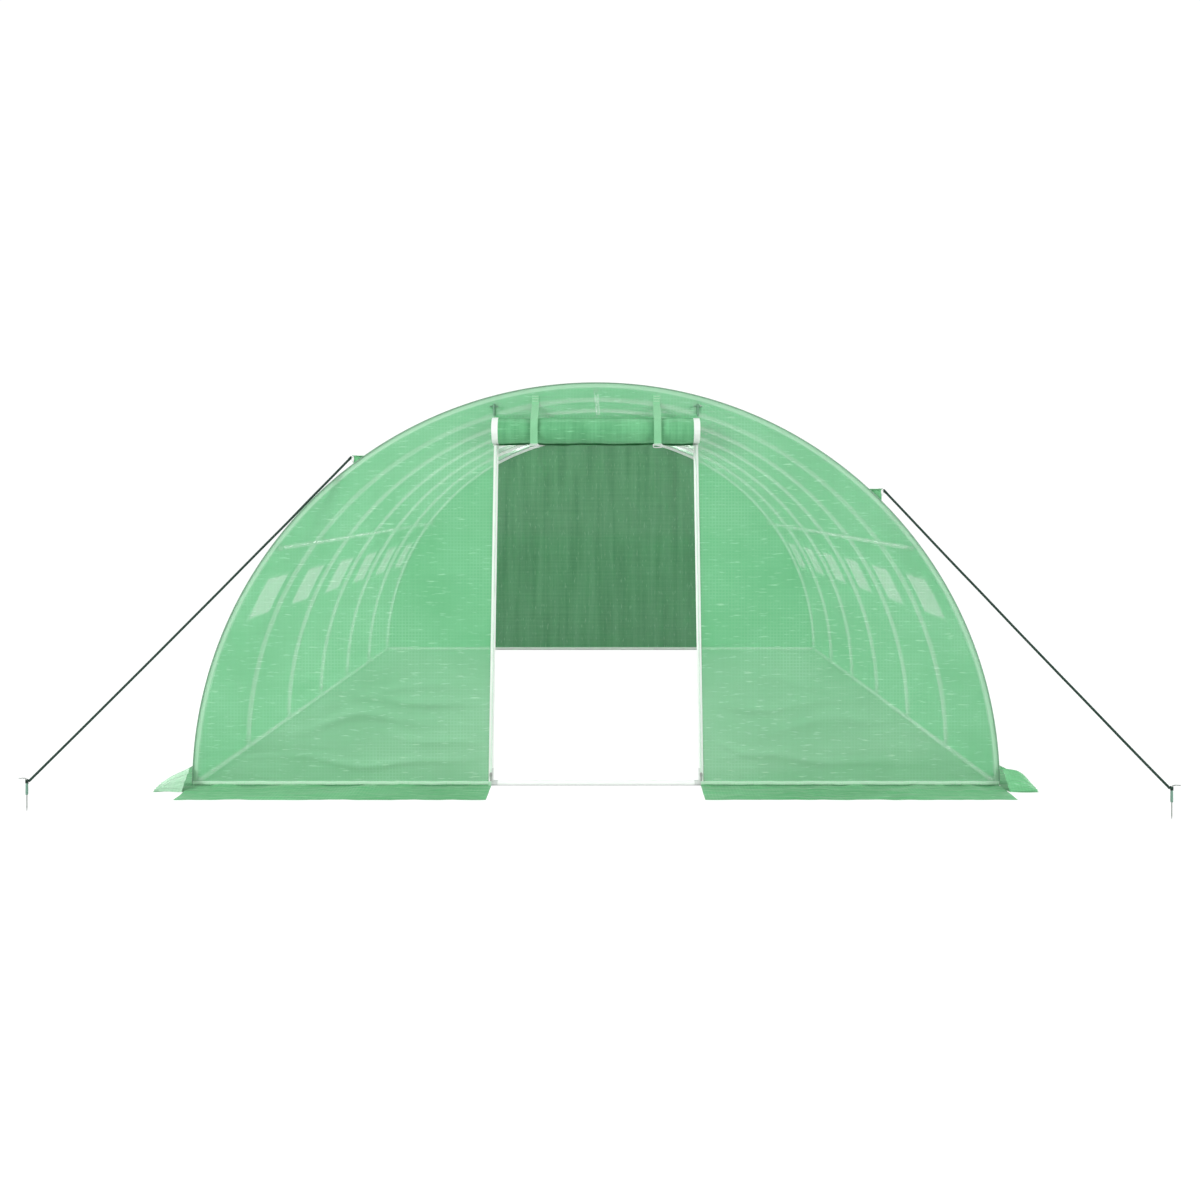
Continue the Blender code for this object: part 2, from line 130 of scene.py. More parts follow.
def grid_patch(
    points: Array,
    uv: Array,
    wrap: bool = False,
    flip: bool = False,
    keep: Array | None = None,
    finish: int = 0,
) -> Patch:
    """Quads between the neighbours of a grid of points, P(i, j).

    Args:
        points: rows x columns x 3.
        uv: rows x columns x 2 in metres, with one more column when it wraps.
        wrap: whether the last column joins the first.
        flip: whether the faces point to the other side.
        keep: which quads to make, as a grid of booleans.
        finish: index of the patch's finish in its piece.

    Returns:
        The patch, with faces whose normal is dP/di x dP/dj, or the opposite when flipped.
    """
    rows, columns = points.shape[:2]
    index = np.arange(rows * columns).reshape(rows, columns)
    if wrap:
        index = np.concatenate([index, index[:, :1]], axis=1)
    corners = [np.s_[:-1, :-1], np.s_[1:, :-1], np.s_[1:, 1:], np.s_[:-1, 1:]]
    if flip:
        corners = corners[::-1]
    quads = np.stack([index[c] for c in corners], axis=-1)
    spots = np.stack([uv[c] for c in corners], axis=-2)
    chosen = np.ones(quads.shape[:2], bool) if keep is None else keep
    return Patch(points.reshape(-1, 3), [(quads[chosen], spots[chosen])], finish)


def run_along(path: Array) -> Array:
    """The distance along a path at each of its points."""
    steps = np.linalg.norm(np.diff(path, axis=0), axis=1)
    return np.concatenate([[0.0], np.cumsum(steps)])


def sweep(
    path: Array,
    outline: Array,
    side: Array,
    tangent: Array | None = None,
    closed: bool = True,
    capped: bool = True,
    finish: int = 0,
) -> Patch:
    """An outline carried along a path: P(i, j) = path i + a * side + b * (tangent x side).

    Args:
        path: n x 3 points.
        outline: k x 2 values of (a, b), counterclockwise, or n x k x 2 when it changes.
        side: direction of a, square to the path, or one for each point of it.
        tangent: a fixed direction of travel, or None to read it from the path.
        closed: whether the outline is a loop, and not a strip.
        capped: whether both ends get a face.
        finish: index of the patch's finish in its piece.

    Returns:
        The patch, its UV running round the outline and along the path in metres.
    """
    path = np.asarray(path, float)
    count = len(path)
    outline = np.broadcast_to(outline, (count, *np.shape(outline)[-2:]))
    if tangent is None:
        tangents = np.gradient(path, axis=0)
        tangents /= np.linalg.norm(tangents, axis=1, keepdims=True)
    else:
        tangents = np.broadcast_to(tangent, path.shape)
    sides = np.broadcast_to(side, path.shape)
    sides = sides - tangents * np.sum(sides * tangents, axis=1, keepdims=True)
    sides = sides / np.linalg.norm(sides, axis=1, keepdims=True)
    across = np.cross(tangents, sides)
    points = (
        path[:, None]
        + outline[..., :1] * sides[:, None]
        + outline[..., 1:] * across[:, None]
    )
    run = run_along(path)
    loop = np.concatenate([outline, outline[:, :1]], axis=1) if closed else outline
    steps = np.linalg.norm(np.diff(loop, axis=1), axis=2)
    round_it = np.concatenate([np.zeros((count, 1)), np.cumsum(steps, axis=1)], axis=1)
    uv = np.stack([round_it, np.broadcast_to(run[:, None], round_it.shape)], axis=-1)
    patch = grid_patch(points, uv, wrap=closed, flip=True, finish=finish)
    if capped and closed:
        width = outline.shape[1]
        last = np.arange(width) + (count - 1) * width
        for ring, row in ((np.arange(width)[::-1], 0), (last, count - 1)):
            flat = outline[row][::-1] if row == 0 else outline[row]
            patch.faces.append((ring[None], flat[None]))
    return patch


def signed_power(value: Array, power: float) -> Array:
    """|value|^power with the value's sign."""
    return np.sign(value) * np.abs(value) ** power


def circle(radius: float | Array, count: int = 24) -> Array:
    """(a, b) = radius * (cos t, sin t) for count even steps of t, for each radius given."""
    turn = np.linspace(0, 2 * math.pi, count, endpoint=False)
    ring = np.stack([np.cos(turn), np.sin(turn)], axis=-1)
    return ring * np.asarray(radius, float)[..., None, None]


def squircle(width: float, height: float, power: float = 5.0, count: int = 24) -> Array:
    """A rounded rectangle: |2a/width|^power + |2b/height|^power = 1, counterclockwise."""
    turn = np.linspace(0, 2 * math.pi, count, endpoint=False)
    cos, sin = np.cos(turn), np.sin(turn)
    a = signed_power(cos, 2 / power) * width / 2
    b = signed_power(sin, 2 / power) * height / 2
    return np.stack([a, b], axis=-1)


def line(start: Array, end: Array, count: int) -> Array:
    """Count even points from start to end."""
    share = np.linspace(0, 1, count)[:, None]
    return np.asarray(start, float) * (1 - share) + np.asarray(end, float) * share


def box_middle(node: str) -> tuple[Array, Array]:
    """(middle, half size) of a node's box at rest."""
    low, high = (np.array(corner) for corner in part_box(node))
    return (low + high) / 2, (high - low) / 2


def on_arc(radius: float | Array, degrees: float | Array, y: float | Array) -> Array:
    """Points of the tunnel's section: (radius cos t, y, radius sin t)."""
    turn = np.radians(degrees)
    x, z = radius * np.cos(turn), radius * np.sin(turn)
    return np.stack(np.broadcast_arrays(x, y, z), axis=-1)


def tube(start: Array, end: Array, radius: float, side: Array, finish: int = 0) -> Patch:
    """A straight round bar whose ends are chamfered by a tenth of its radius."""
    start, end = np.asarray(start, float), np.asarray(end, float)
    way = (end - start) / np.linalg.norm(end - start)
    bevel = radius * 0.1
    path = np.array([start, start + way * bevel, end - way * bevel, end])
    radii = np.array([radius - bevel, radius, radius, radius - bevel])
    return sweep(path, circle(radii), side, tangent=way, finish=finish)


def turned_piece(
    profile: list[tuple[float, float]], base: Array, axis: Array, count: int = 16, finish: int = 0
) -> Patch:
    """A lathe-turned piece: at each (height, radius) of the profile, a ring round the axis."""
    axis = np.asarray(axis, float)
    heights, radii = np.array(profile, float).T
    side = X_AXIS if abs(axis[0]) < 0.7 else Y_AXIS
    path = np.asarray(base, float) + heights[:, None] * axis
    return sweep(path, circle(radii, count), side, tangent=axis, finish=finish)


def bolt(base: Array, axis: Array, size: float = 0.006, finish: int = 0) -> Patch:
    """A domed carriage-bolt head on a washer, size being the head's radius."""
    profile = [
        (0.0, size * 1.5),
        (size * 0.22, size * 1.5),
        (size * 0.24, size),
        (size * 0.55, size * 0.92),
        (size * 0.8, size * 0.62),
        (size * 0.9, size * 0.08),
    ]
    return turned_piece(profile, base, axis, finish=finish)


def smooth_route(route: list[tuple[float, float, float]], steps: int) -> Array:
    """Catmull-Rom points through a route, steps to a span.

    Each span's point is the sum of four neighbours by the cubic weights of the curve.
    """
    points = np.array([route[0], *route, route[-1]], float)
    t = (np.arange(1, steps + 1) / steps)[:, None]
    weights = np.concatenate(
        [
            (-(t**3) + 2 * t**2 - t) / 2,
            (3 * t**3 - 5 * t**2 + 2) / 2,
            (-3 * t**3 + 4 * t**2 + t) / 2,
            (t**3 - t**2) / 2,
        ],
        axis=1,
    )
    windows = np.stack([points[i : len(points) - 3 + i] for i in range(4)], axis=1)
    spans = np.einsum("sw,nwx->nsx", weights, windows).reshape(-1, 3)
    return np.concatenate([points[:1], spans])


def ripples(u: Array, v: Array, seed: int, waves: int, length: tuple, slant: float) -> Array:
    """A sum of sine waves, about -1 to 1, for slack film.

    Each wave is sin(2 pi (u cos t + v sin t) / length + phase), t being near the slant.

    Args:
        u: first coordinate in metres.
        v: second coordinate in metres.
        seed: of the waves' lengths, directions and phases.
        waves: how many.
        length: shortest and longest wave in metres.
        slant: degrees from u, to which each wave adds up to 25.

    Returns:
        The sum, scaled by the square root of the number of waves.
    """
    rng = np.random.default_rng(seed)
    total = np.zeros(np.broadcast(u, v).shape)
    for _ in range(waves):
        size = rng.uniform(*length)
        turn = math.radians(slant + rng.uniform(-25, 25))
        phase = rng.uniform(0, 2 * math.pi)
        total += np.sin(2 * math.pi * (u * math.cos(turn) + v * math.sin(turn)) / size + phase)
    return total / math.sqrt(waves)


def bump(value: Array, middle: float | Array, width: float) -> Array:
    """A bell: exp(-((value - middle) / width)^2)."""
    return np.exp(-(((value - middle) / width) ** 2))


def ease(value: Array, low: float, high: float) -> Array:
    """0 below low, 1 above high, and 3t^2 - 2t^3 between them."""
    t = np.clip((value - low) / (high - low), 0, 1)
    return t * t * (3 - 2 * t)


def add_piece(
    name: str,
    patches: list[Patch],
    materials: list[bpy.types.Material],
    body: str | None = "root",
    replaces: tuple[str, ...] = (),
    sharp: float = 40.0,
) -> bpy.types.Object:
    """Makes one mesh object of these patches, and puts it on its body.

    Args:
        name: of the object.
        patches: its surfaces; each names its finish by index.
        materials: its finishes.
        body: the CAD body that it rides on, or None to leave it unattached.
        replaces: CAD nodes that it stands for.
        sharp: faces that meet at more than this many degrees keep a hard edge.

    Returns:
        The object, whose UV map is named "cut".
    """
    mesh = bpy.data.meshes.new(name)
    start, corners, totals, spots, finishes = 0, [], [], [], []
    for patch in patches:
        for faces, uv in patch.faces:
            corners.append((faces + start).ravel())
            totals.append(np.full(len(faces), faces.shape[1]))
            spots.append(uv.reshape(-1, 2))
            finishes.append(np.full(len(faces), patch.finish))
        start += len(patch.points)
    points = np.concatenate([patch.points for patch in patches])
    corner, total = np.concatenate(corners), np.concatenate(totals)
    mesh.vertices.add(len(points))
    mesh.vertices.foreach_set("co", points.astype(np.float32).ravel())
    mesh.loops.add(len(corner))
    mesh.loops.foreach_set("vertex_index", corner.astype(np.int32))
    mesh.polygons.add(len(total))
    first = np.concatenate([[0], np.cumsum(total)[:-1]])
    mesh.polygons.foreach_set("loop_start", first.astype(np.int32))
    mesh.polygons.foreach_set("material_index", np.concatenate(finishes).astype(np.int32))
    layer = mesh.uv_layers.new(name="cut")
    layer.data.foreach_set("uv", np.concatenate(spots).astype(np.float32).ravel())
    mesh.update(calc_edges=True)
    mesh.validate()
    mesh.shade_smooth()
    mesh.set_sharp_from_angle(angle=math.radians(sharp))
    for material in materials:
        mesh.materials.append(material)
    piece = bpy.data.objects.new(name, mesh)
    bpy.context.scene.collection.objects.link(piece)
    if body:
        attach(piece, body)
    if replaces:
        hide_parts(*replaces)
    log.info("%s: %d points, %d faces", name, len(points), len(total))
    return piece


# --- Finishes -------------------------------------------------------------------------


def linear(code: str) -> tuple[float, float, float, float]:
    """A colour socket's value for an sRGB hex code such as "#88C69A"."""
    parts = [int(code[i : i + 2], 16) / 255 for i in (1, 3, 5)]
    red, green, blue = (
        c / 12.92 if c <= 0.04045 else ((c + 0.055) / 1.055) ** 2.4 for c in parts
    )
    return (red, green, blue, 1.0)


def add_node(
    tree: bpy.types.NodeTree, kind: str, inputs: dict | None = None, **settings: object
) -> bpy.types.Node:
    """Adds one node.

    Args:
        tree: the material's or world's node tree.
        kind: the node's type, without "ShaderNode".
        inputs: socket name or index to a value, or to an output socket to link from.
        settings: the node's own properties.

    Returns:
        The node.
    """
    node = tree.nodes.new("ShaderNode" + kind)
    for key, value in settings.items():
        setattr(node, key, value)
    for key, value in (inputs or {}).items():
        if isinstance(value, bpy.types.NodeSocket):
            tree.links.new(value, node.inputs[key])
        else:
            node.inputs[key].default_value = value
    return node


def new_material(name: str) -> tuple[bpy.types.Material, bpy.types.NodeTree]:
    """An empty node material and its tree."""
    material = bpy.data.materials.new(name)
    material.use_nodes = True
    material.node_tree.nodes.clear()
    return material, material.node_tree


def math_node(tree: bpy.types.NodeTree, operation: str, *values: object) -> bpy.types.NodeSocket:
    """The result of one Math node on these values or sockets."""
    inputs = dict(enumerate(values))
    return add_node(tree, "Math", inputs, operation=operation).outputs[0]


def remap(
    tree: bpy.types.NodeTree, value: object, ends: tuple[float, ...], smooth: bool = False
) -> bpy.types.NodeSocket:
    """A value mapped from a range to another.

    Args:
        tree: the nodes.
        value: the socket to map.
        ends: from low, from high, and, where it isn't 0 to 1, to low and to high.
        smooth: whether the change eases in and out.

    Returns:
        The mapped value.
    """
    inputs = {0: value, **dict(enumerate(ends, 1))}
    kind = "SMOOTHSTEP" if smooth else "LINEAR"
    return add_node(tree, "MapRange", inputs, interpolation_type=kind).outputs[0]


def threads(
    tree: bpy.types.NodeTree, along: bpy.types.NodeSocket, spacing: float, width: float
) -> bpy.types.NodeSocket:
    """A soft line every spacing metres: 1 on the line, 0 past width of the half spacing."""
    wave = math_node(tree, "PINGPONG", along, spacing / 2)
    return remap(tree, wave, (0.0, spacing / 2 * width, 1.0, 0.0), smooth=True)


def noise(
    tree: bpy.types.NodeTree,
    spot: bpy.types.NodeSocket,
    scale: tuple[float, float],
    detail: float = 2.0,
    distortion: float = 0.0,
) -> bpy.types.NodeSocket:
    """Noise of 0 to 1 whose scale is in changes per metre along u and v."""
    placed = add_node(tree, "Mapping", {"Vector": spot, "Scale": (*scale, 1.0)})
    inputs = {"Vector": placed.outputs[0], "Detail": detail, "Distortion": distortion}
    return add_node(tree, "TexNoise", {**inputs, "Scale": 1.0}).outputs[0]


def two_tone(
    tree: bpy.types.NodeTree, share: bpy.types.NodeSocket, low: object, high: object
) -> bpy.types.NodeSocket:
    """Two colours mixed: low where the share is 0, high where it is 1."""
    return add_node(tree, "Mix", {0: share, 6: low, 7: high}, data_type="RGBA").outputs[2]


def dented(
    tree: bpy.types.NodeTree,
    height: bpy.types.NodeSocket,
    strength: float,
    distance: float,
    **under: bpy.types.NodeSocket,
) -> bpy.types.NodeSocket:
    """A surface's normal tilted by a height map, over another one given as Normal."""
    inputs = {"Strength": strength, "Distance": distance, "Height": height, **under}
    return add_node(tree, "Bump", inputs).outputs[0]


def mixed(
    tree: bpy.types.NodeTree, share: object, low: bpy.types.Node, high: bpy.types.Node
) -> bpy.types.Node:
    """Two shaders mixed: low where the share is 0, high where it is 1."""
    return add_node(tree, "MixShader", {0: share, 1: low.outputs[0], 2: high.outputs[0]})


class Rest(Enum):
    """What the film lies on: where they touch, the film is painted paler, painted light for the
    white tube showing through it.
    """

    NOTHING = "nothing"
    HOOPS = "hoops"  # one every bay along U
    ARCH = "arch"  # the end hoop, round the UV origin


@dataclass(frozen=True)
class WovenFilm:
    """Polyethylene film with a woven tape scrim: the tapes make a fine grid, a little
    denser and glossier than the film between them."""

    name: str
    colour: str = "#81DA9E"
    shade: str = "#76D193"  # darker tone where the film is a little thicker; on the rear film, painted shade of its upright folds
    # the tapes' pale colour, also laid on the painted glints and the hoop bands as painted
    # highlight
    thread_and_highlight: str = "#AEEABF"
    see_through: str = "#FFDCF7"  # tint of what shows behind
    open_share: float = 0.34
    glow: float = 0.22  # share of light that it passes on, scattered
    spacing: float = 0.016  # the real tapes are 2.5 mm apart, drawn as coarse as shows
    wrinkle: float = 0.5
    slack: tuple[float, float] = (2.0, 7.0)  # wrinkles per metre along u and v
    by_place: bool = False  # patterns by place, and not by UV
    rest: Rest = Rest.NOTHING
    sheen: float = 0.5  # haze at a grazing angle
    scrim: float = 0.5  # how much the tapes stand out
    clouds: tuple[float, float] = (2.3, 2.3)  # tone changes per metre along u and v; on the rear film, upright bands of painted fold shade
    painted_glints: tuple[float, float] = (14.0, 95.0)  # painted glints: pale glossy spots standing for highlights, per metre along u and v

    def material(self) -> bpy.types.Material:
        """Builds the film's nodes.

        Returns:
            The material.
        """
        made, tree = new_material(self.name)
        spot = self.place(tree)
        clouds = noise(tree, spot, self.clouds, detail=5.0)
        tapes_and_painted_light = self.tapes_and_painted_light(tree, spot, clouds)
        tone = self.tone(tree, spot, clouds)
        base = two_tone(tree, tone, linear(self.shade), linear(self.colour))
        # pale at the tapes, and painted highlight at the glints and over the hoops
        colour = two_tone(tree, tapes_and_painted_light, base, linear(self.thread_and_highlight))
        creases = noise(tree, spot, self.slack, detail=3.0, distortion=0.6)
        dent = dented(tree, creases, self.wrinkle, 0.02)
        weave = dented(tree, tapes_and_painted_light, 0.25, 0.001, Normal=dent)
        skin = add_node(
            tree,
            "BsdfPrincipled",
            {
                "Base Color": colour,
                "Roughness": remap(tree, tapes_and_painted_light, (0.0, 1.0, 0.42, 0.30)),
                "IOR": 1.51,
                "Sheen Weight": self.sheen,
                "Sheen Roughness": 0.35,
                "Normal": weave,
            },
        )
        passed = add_node(tree, "BsdfTranslucent", {"Color": colour, "Normal": weave})
        result = mixed(tree, self.glow, skin, passed)
        if self.open_share > 0:
            behind = add_node(tree, "BsdfTransparent", {"Color": linear(self.see_through)})
            ends = (0.0, 1.0, 1 - self.open_share, 1 - self.open_share * 0.72)
            result = mixed(tree, remap(tree, tapes_and_painted_light, ends), behind, result)
        add_node(tree, "OutputMaterial", {0: result.outputs[0]})
        return made

    def place(self, tree: bpy.types.NodeTree) -> bpy.types.NodeSocket:
        """Where a point is on the film: its UV, or its place when the patterns go by place."""
        if not self.by_place:
            return add_node(tree, "UVMap", uv_map="cut").outputs[0]
        place = add_node(tree, "TexCoord").outputs["Object"]
        upright = {"Vector": place, "Rotation": (-math.pi / 2, 0, 0)}
        return add_node(tree, "Mapping", upright).outputs[0]

    def tapes_and_painted_light(
        self, tree: bpy.types.NodeTree, spot: bpy.types.NodeSocket, clouds: bpy.types.NodeSocket
    ) -> bpy.types.NodeSocket:
        """How pale the film is: its tapes, painted glints as highlights, and painted light where it
        lies on the hoops.
        """
        axes = add_node(tree, "SeparateXYZ", {0: spot})
        warp = threads(tree, axes.outputs[0], self.spacing, 0.55)
        weft = threads(tree, axes.outputs[1], self.spacing, 0.55)
        tapes = math_node(tree, "MAXIMUM", warp, weft)
        strength = remap(tree, clouds, (0.40, 0.68, 0.0, 0.6))
        tapes = math_node(tree, "MULTIPLY", tapes, strength)
        tapes = math_node(tree, "MULTIPLY", tapes, self.scrim)
        # painted highlights: pale glossy spots scattered over the film
        glints = remap(tree, noise(tree, spot, self.painted_glints), (0.60, 0.74, 0.0, 0.75))
        tapes_and_painted_light = math_node(tree, "MAXIMUM", tapes, glints)
        if self.rest is not Rest.NOTHING:
            tapes_and_painted_light = math_node(tree, "MAXIMUM", tapes_and_painted_light, self.painted_hoop_light(tree, spot, axes))
        return tapes_and_painted_light

    def tone(
        self, tree: bpy.types.NodeTree, spot: bpy.types.NodeSocket, clouds: bpy.types.NodeSocket
    ) -> bpy.types.NodeSocket:
        """Light and dark of the film: a slow drift, on the rear film in upright bands of painted
        fold shade, and faint streaks along the tapes.
        """
        along_u = noise(tree, spot, (60.0, 1.2))
        along_v = noise(tree, spot, (1.2, 60.0))
        streaks = remap(tree, math_node(tree, "ADD", along_u, along_v), (0.75, 1.25))
        drift = math_node(tree, "MULTIPLY", remap(tree, clouds, (0.36, 0.64)), 0.6)
        return math_node(tree, "ADD", drift, math_node(tree, "MULTIPLY", streaks, 0.4))

    def painted_hoop_light(
        self, tree: bpy.types.NodeTree, spot: bpy.types.NodeSocket, axes: bpy.types.Node
    ) -> bpy.types.NodeSocket:
        """Painted light: 1 where the film lies on a hoop, falling to 0 past the tube's side."""
        if self.rest is Rest.HOOPS:
            moved = math_node(tree, "ADD", axes.outputs[0], 100.0)
            away = math_node(tree, "PINGPONG", moved, 0.5)
        else:
            far = add_node(tree, "VectorMath", {0: spot}, operation="LENGTH").outputs["Value"]
            away = math_node(tree, "ABSOLUTE", math_node(tree, "SUBTRACT", far, HOOP_RADIUS))
        ends = (TUBE_RADIUS * 0.5, TUBE_RADIUS * 1.1, 0.9, 0.0)
        return remap(tree, away, ends, smooth=True)


@dataclass(frozen=True)
class InsectNet:
    """Knitted polyethylene netting: pale threads with clear holes, seen as a light haze."""

    name: str = "insect_net"
    colour: str = "#F6FBF6"
    shadow: str = "#E6F2E8"
    spacing: float = 0.009  # the real mesh is 1 mm, drawn as coarse as shows
    open_share: float = 0.30

    def material(self) -> bpy.types.Material:
        """Builds the netting's nodes.

        Returns:
            The material.
        """
        made, tree = new_material(self.name)
        spot = add_node(tree, "UVMap", uv_map="cut").outputs[0]
        axes = add_node(tree, "SeparateXYZ", {0: spot})
        warp = threads(tree, axes.outputs[0], self.spacing, 0.6)
        weft = threads(tree, axes.outputs[1], self.spacing, 0.6)
        net = math_node(tree, "MAXIMUM", warp, weft)
        cloudy = add_node(tree, "TexNoise", {"Vector": spot, "Scale": 9.0, "Detail": 3.0})
        tone = two_tone(tree, cloudy.outputs[0], linear(self.shadow), linear(self.colour))
        inputs = {"Base Color": tone, "Roughness": 0.55, "IOR": 1.5}
        inputs["Normal"] = dented(tree, net, 0.4, 0.001)
        yarn = add_node(tree, "BsdfPrincipled", inputs)
        lit = add_node(tree, "BsdfTranslucent", {"Color": tone})
        cloth = mixed(tree, 0.55, yarn, lit)
        ends = (0.0, 1.0, 1 - self.open_share, 1 - self.open_share * 0.4)
        result = mixed(tree, remap(tree, net, ends), add_node(tree, "BsdfTransparent"), cloth)
        add_node(tree, "OutputMaterial", {0: result.outputs[0]})
        return made


@dataclass(frozen=True)
class Coated:
    """Powder coat, moulded plastic or bare metal: one body colour that drifts a little, with
    the fine unevenness of how it was made."""

    name: str
    colour: str
    drift: str
    roughness: float = 0.32
    metallic: float = 0.0
    ior: float = 1.5
    grain: float = 900.0  # bumps per metre of the orange peel or cast skin
    relief: float = 0.12
    sheen: float = 0.0

    def material(self) -> bpy.types.Material:
        """Builds the coat's nodes.

        Returns:
            The material.
        """
        made, tree = new_material(self.name)
        place = add_node(tree, "TexCoord").outputs["Object"]
        clouds = add_node(tree, "TexNoise", {"Vector": place, "Scale": 14.0, "Detail": 4.0})
        peel = add_node(tree, "TexNoise", {"Vector": place, "Scale": self.grain, "Detail": 2.0})
        tone = two_tone(tree, clouds.outputs[0], linear(self.drift), linear(self.colour))
        ends = (0.0, 1.0, self.roughness + 0.08, self.roughness - 0.04)
        inputs = {
            "Base Color": tone,
            "Roughness": remap(tree, clouds.outputs[0], ends),
            "Metallic": self.metallic,
            "Sheen Weight": self.sheen,
            "Normal": dented(tree, peel.outputs[0], self.relief, 0.0005),
        }
        if self.metallic < 0.5:
            inputs["IOR"] = self.ior
        shader = add_node(tree, "BsdfPrincipled", inputs)
        add_node(tree, "OutputMaterial", {0: shader.outputs[0]})
        return made


@dataclass(frozen=True)
class Woven:
    """Strap, tape or rope: yarns that cross or twist, drawn along the piece's own UV."""

    name: str
    colour: str
    shadow: str
    spacing: tuple[float, float]  # yarn spacing across and along, metres
    slant: float = 0.0  # turns across for each metre along, for a twisted rope
    roughness: float = 0.7
    relief: float = 0.6
    sheen: float = 0.3

    def material(self) -> bpy.types.Material:
        """Builds the weave's nodes.

        Returns:
            The material.
        """
        made, tree = new_material(self.name)
        spot = add_node(tree, "UVMap", uv_map="cut").outputs[0]
        axes = add_node(tree, "SeparateXYZ", {0: spot})
        leaning = math_node(tree, "MULTIPLY", axes.outputs[1], self.slant)
        across = math_node(tree, "ADD", axes.outputs[0], leaning)
        warp = threads(tree, across, self.spacing[0], 1.0)
        weft = threads(tree, axes.outputs[1], self.spacing[1], 1.0)
        yarns = math_node(tree, "MULTIPLY", warp, math_node(tree, "ADD", weft, 0.5))
        yarns = math_node(tree, "MINIMUM", yarns, 1.0)
        shader = add_node(
            tree,
            "BsdfPrincipled",
            {
                "Base Color": two_tone(tree, yarns, linear(self.shadow), linear(self.colour)),
                "Roughness": self.roughness,
                "Sheen Weight": self.sheen,
                "Normal": dented(tree, yarns, self.relief, 0.001),
            },
        )
        add_node(tree, "OutputMaterial", {0: shader.outputs[0]})
        return made


class Finishes:
    """Every finish of the greenhouse, built once."""

    def __init__(self) -> None:
        """Builds the materials."""
        # roof film: painted glints in streaks across it, and painted light over the hoops
        self.film = WovenFilm(
            "woven_film", rest=Rest.HOOPS, sheen=0.6, painted_glints=(38.0, 4.5)
        ).material()
        self.wall_film = WovenFilm(
            "woven_film_wall", slack=(1.5, 8.0), rest=Rest.ARCH
        ).material()
        self.rear_film = WovenFilm(
            "woven_film_rear",
            colour="#7ED297",
            shade="#5EB479",
            thread_and_highlight="#8ED8A5",
            slack=(9.0, 1.2),
            # upright bands of the darker tone: painted shade of the wall's folds
            clouds=(11.0, 0.8),
            painted_glints=(60.0, 16.0),
            rest=Rest.ARCH,
            glow=0.14,
            sheen=0.1,
            scrim=0.12,
            wrinkle=0.9,
        ).material()
        self.door_film = WovenFilm("woven_film_door", by_place=True).material()
        self.rolled_film = WovenFilm(
            "woven_film_rolled",
            colour="#6DBD85",
            shade="#53A06C",
            thread_and_highlight="#8FD8A4",
            clouds=(16.0, 3.0),
            sheen=0.0,
            scrim=0.35,
            open_share=0.0,
            glow=0.1,
            slack=(3.0, 14.0),
        ).material()
        self.ground_film = WovenFilm(
            "woven_film_ground",
            colour="#6CC485",
            shade="#60B578",
            sheen=0.2,
            open_share=0.12,
            glow=0.1,
            slack=(3.0, 12.0),
            wrinkle=0.8,
        ).material()
        # a pale copy of the ground film for the left corners: painted light on their pleats
        self.lit_pleated_film = WovenFilm(
            "woven_film_pleated_lit",
            colour="#BDE2C6",
            shade="#93C9A1",
            open_share=0.0,
            slack=(4.0, 30.0),
            wrinkle=1.0,
        ).material()
        # pale film: on the rail welts a painted highlight where the film turns over the rail; also
        # the doubled film round the windows
        self.hem_and_highlight_film = WovenFilm(
            "woven_film_hem", colour="#DDF9E4", shade="#CFF2D8", open_share=0.0, glow=0.3
        ).material()
        self.binding = Woven(
            "binding_tape", "#8FB79B", "#6E9A7C", (0.002, 0.002), roughness=0.6
        ).material()
        self.net = InsectNet().material()
        self.tube = Coated("powder_coated_tube", "#F4F7F4", "#E9EFEA", relief=0.08).material()
        self.fitting = Coated(
            "cast_fitting", "#DADEDB", "#C9CFCB", roughness=0.42, grain=500.0, relief=0.25
        ).material()
        self.zinc = Coated(
            "zinc_plated_steel", "#B9BCB8", "#9DA19E", roughness=0.34, metallic=1.0, relief=0.2
        ).material()
        self.dark_bolt = Coated(
            "oiled_bolt", "#4A544E", "#343D38", roughness=0.45, metallic=0.6, relief=0.2
        ).material()
        self.green_tie = Coated(
            "coated_tie_wire", "#6A9B7C", "#547E65", roughness=0.6, relief=0.1
        ).material()
        self.webbing = Woven("polyester_webbing", "#8FD3A0", "#6FB985", (0.0022, 0.0035)).material()
        self.zip_tape = Woven(
            "zip_tape", "#F8FCF8", "#E2EFE5", (0.0016, 0.0016), roughness=0.6
        ).material()
        self.zip_coil = Coated(
            "moulded_coil", "#DDF0E2", "#BFDDC8", roughness=0.35, grain=700.0
        ).material()
        self.rope = Woven(
            "twisted_rope",
            "#1C4737",
            "#051A14",
            (0.0105, 0.0020),
            slant=0.55,
            roughness=0.75,
            relief=0.8,
            sheen=0.0,
        ).material()
        self.sleeve = Coated(
            "pvc_sleeve", "#769C8B", "#648A78", roughness=0.45, grain=600.0
        ).material()
        self.peg = Coated(
            "galvanised_wire", "#B4B9B6", "#9CA19E", roughness=0.35, metallic=0.7, relief=0.2
        ).material()


# --- Camera and room ------------------------------------------------------------------


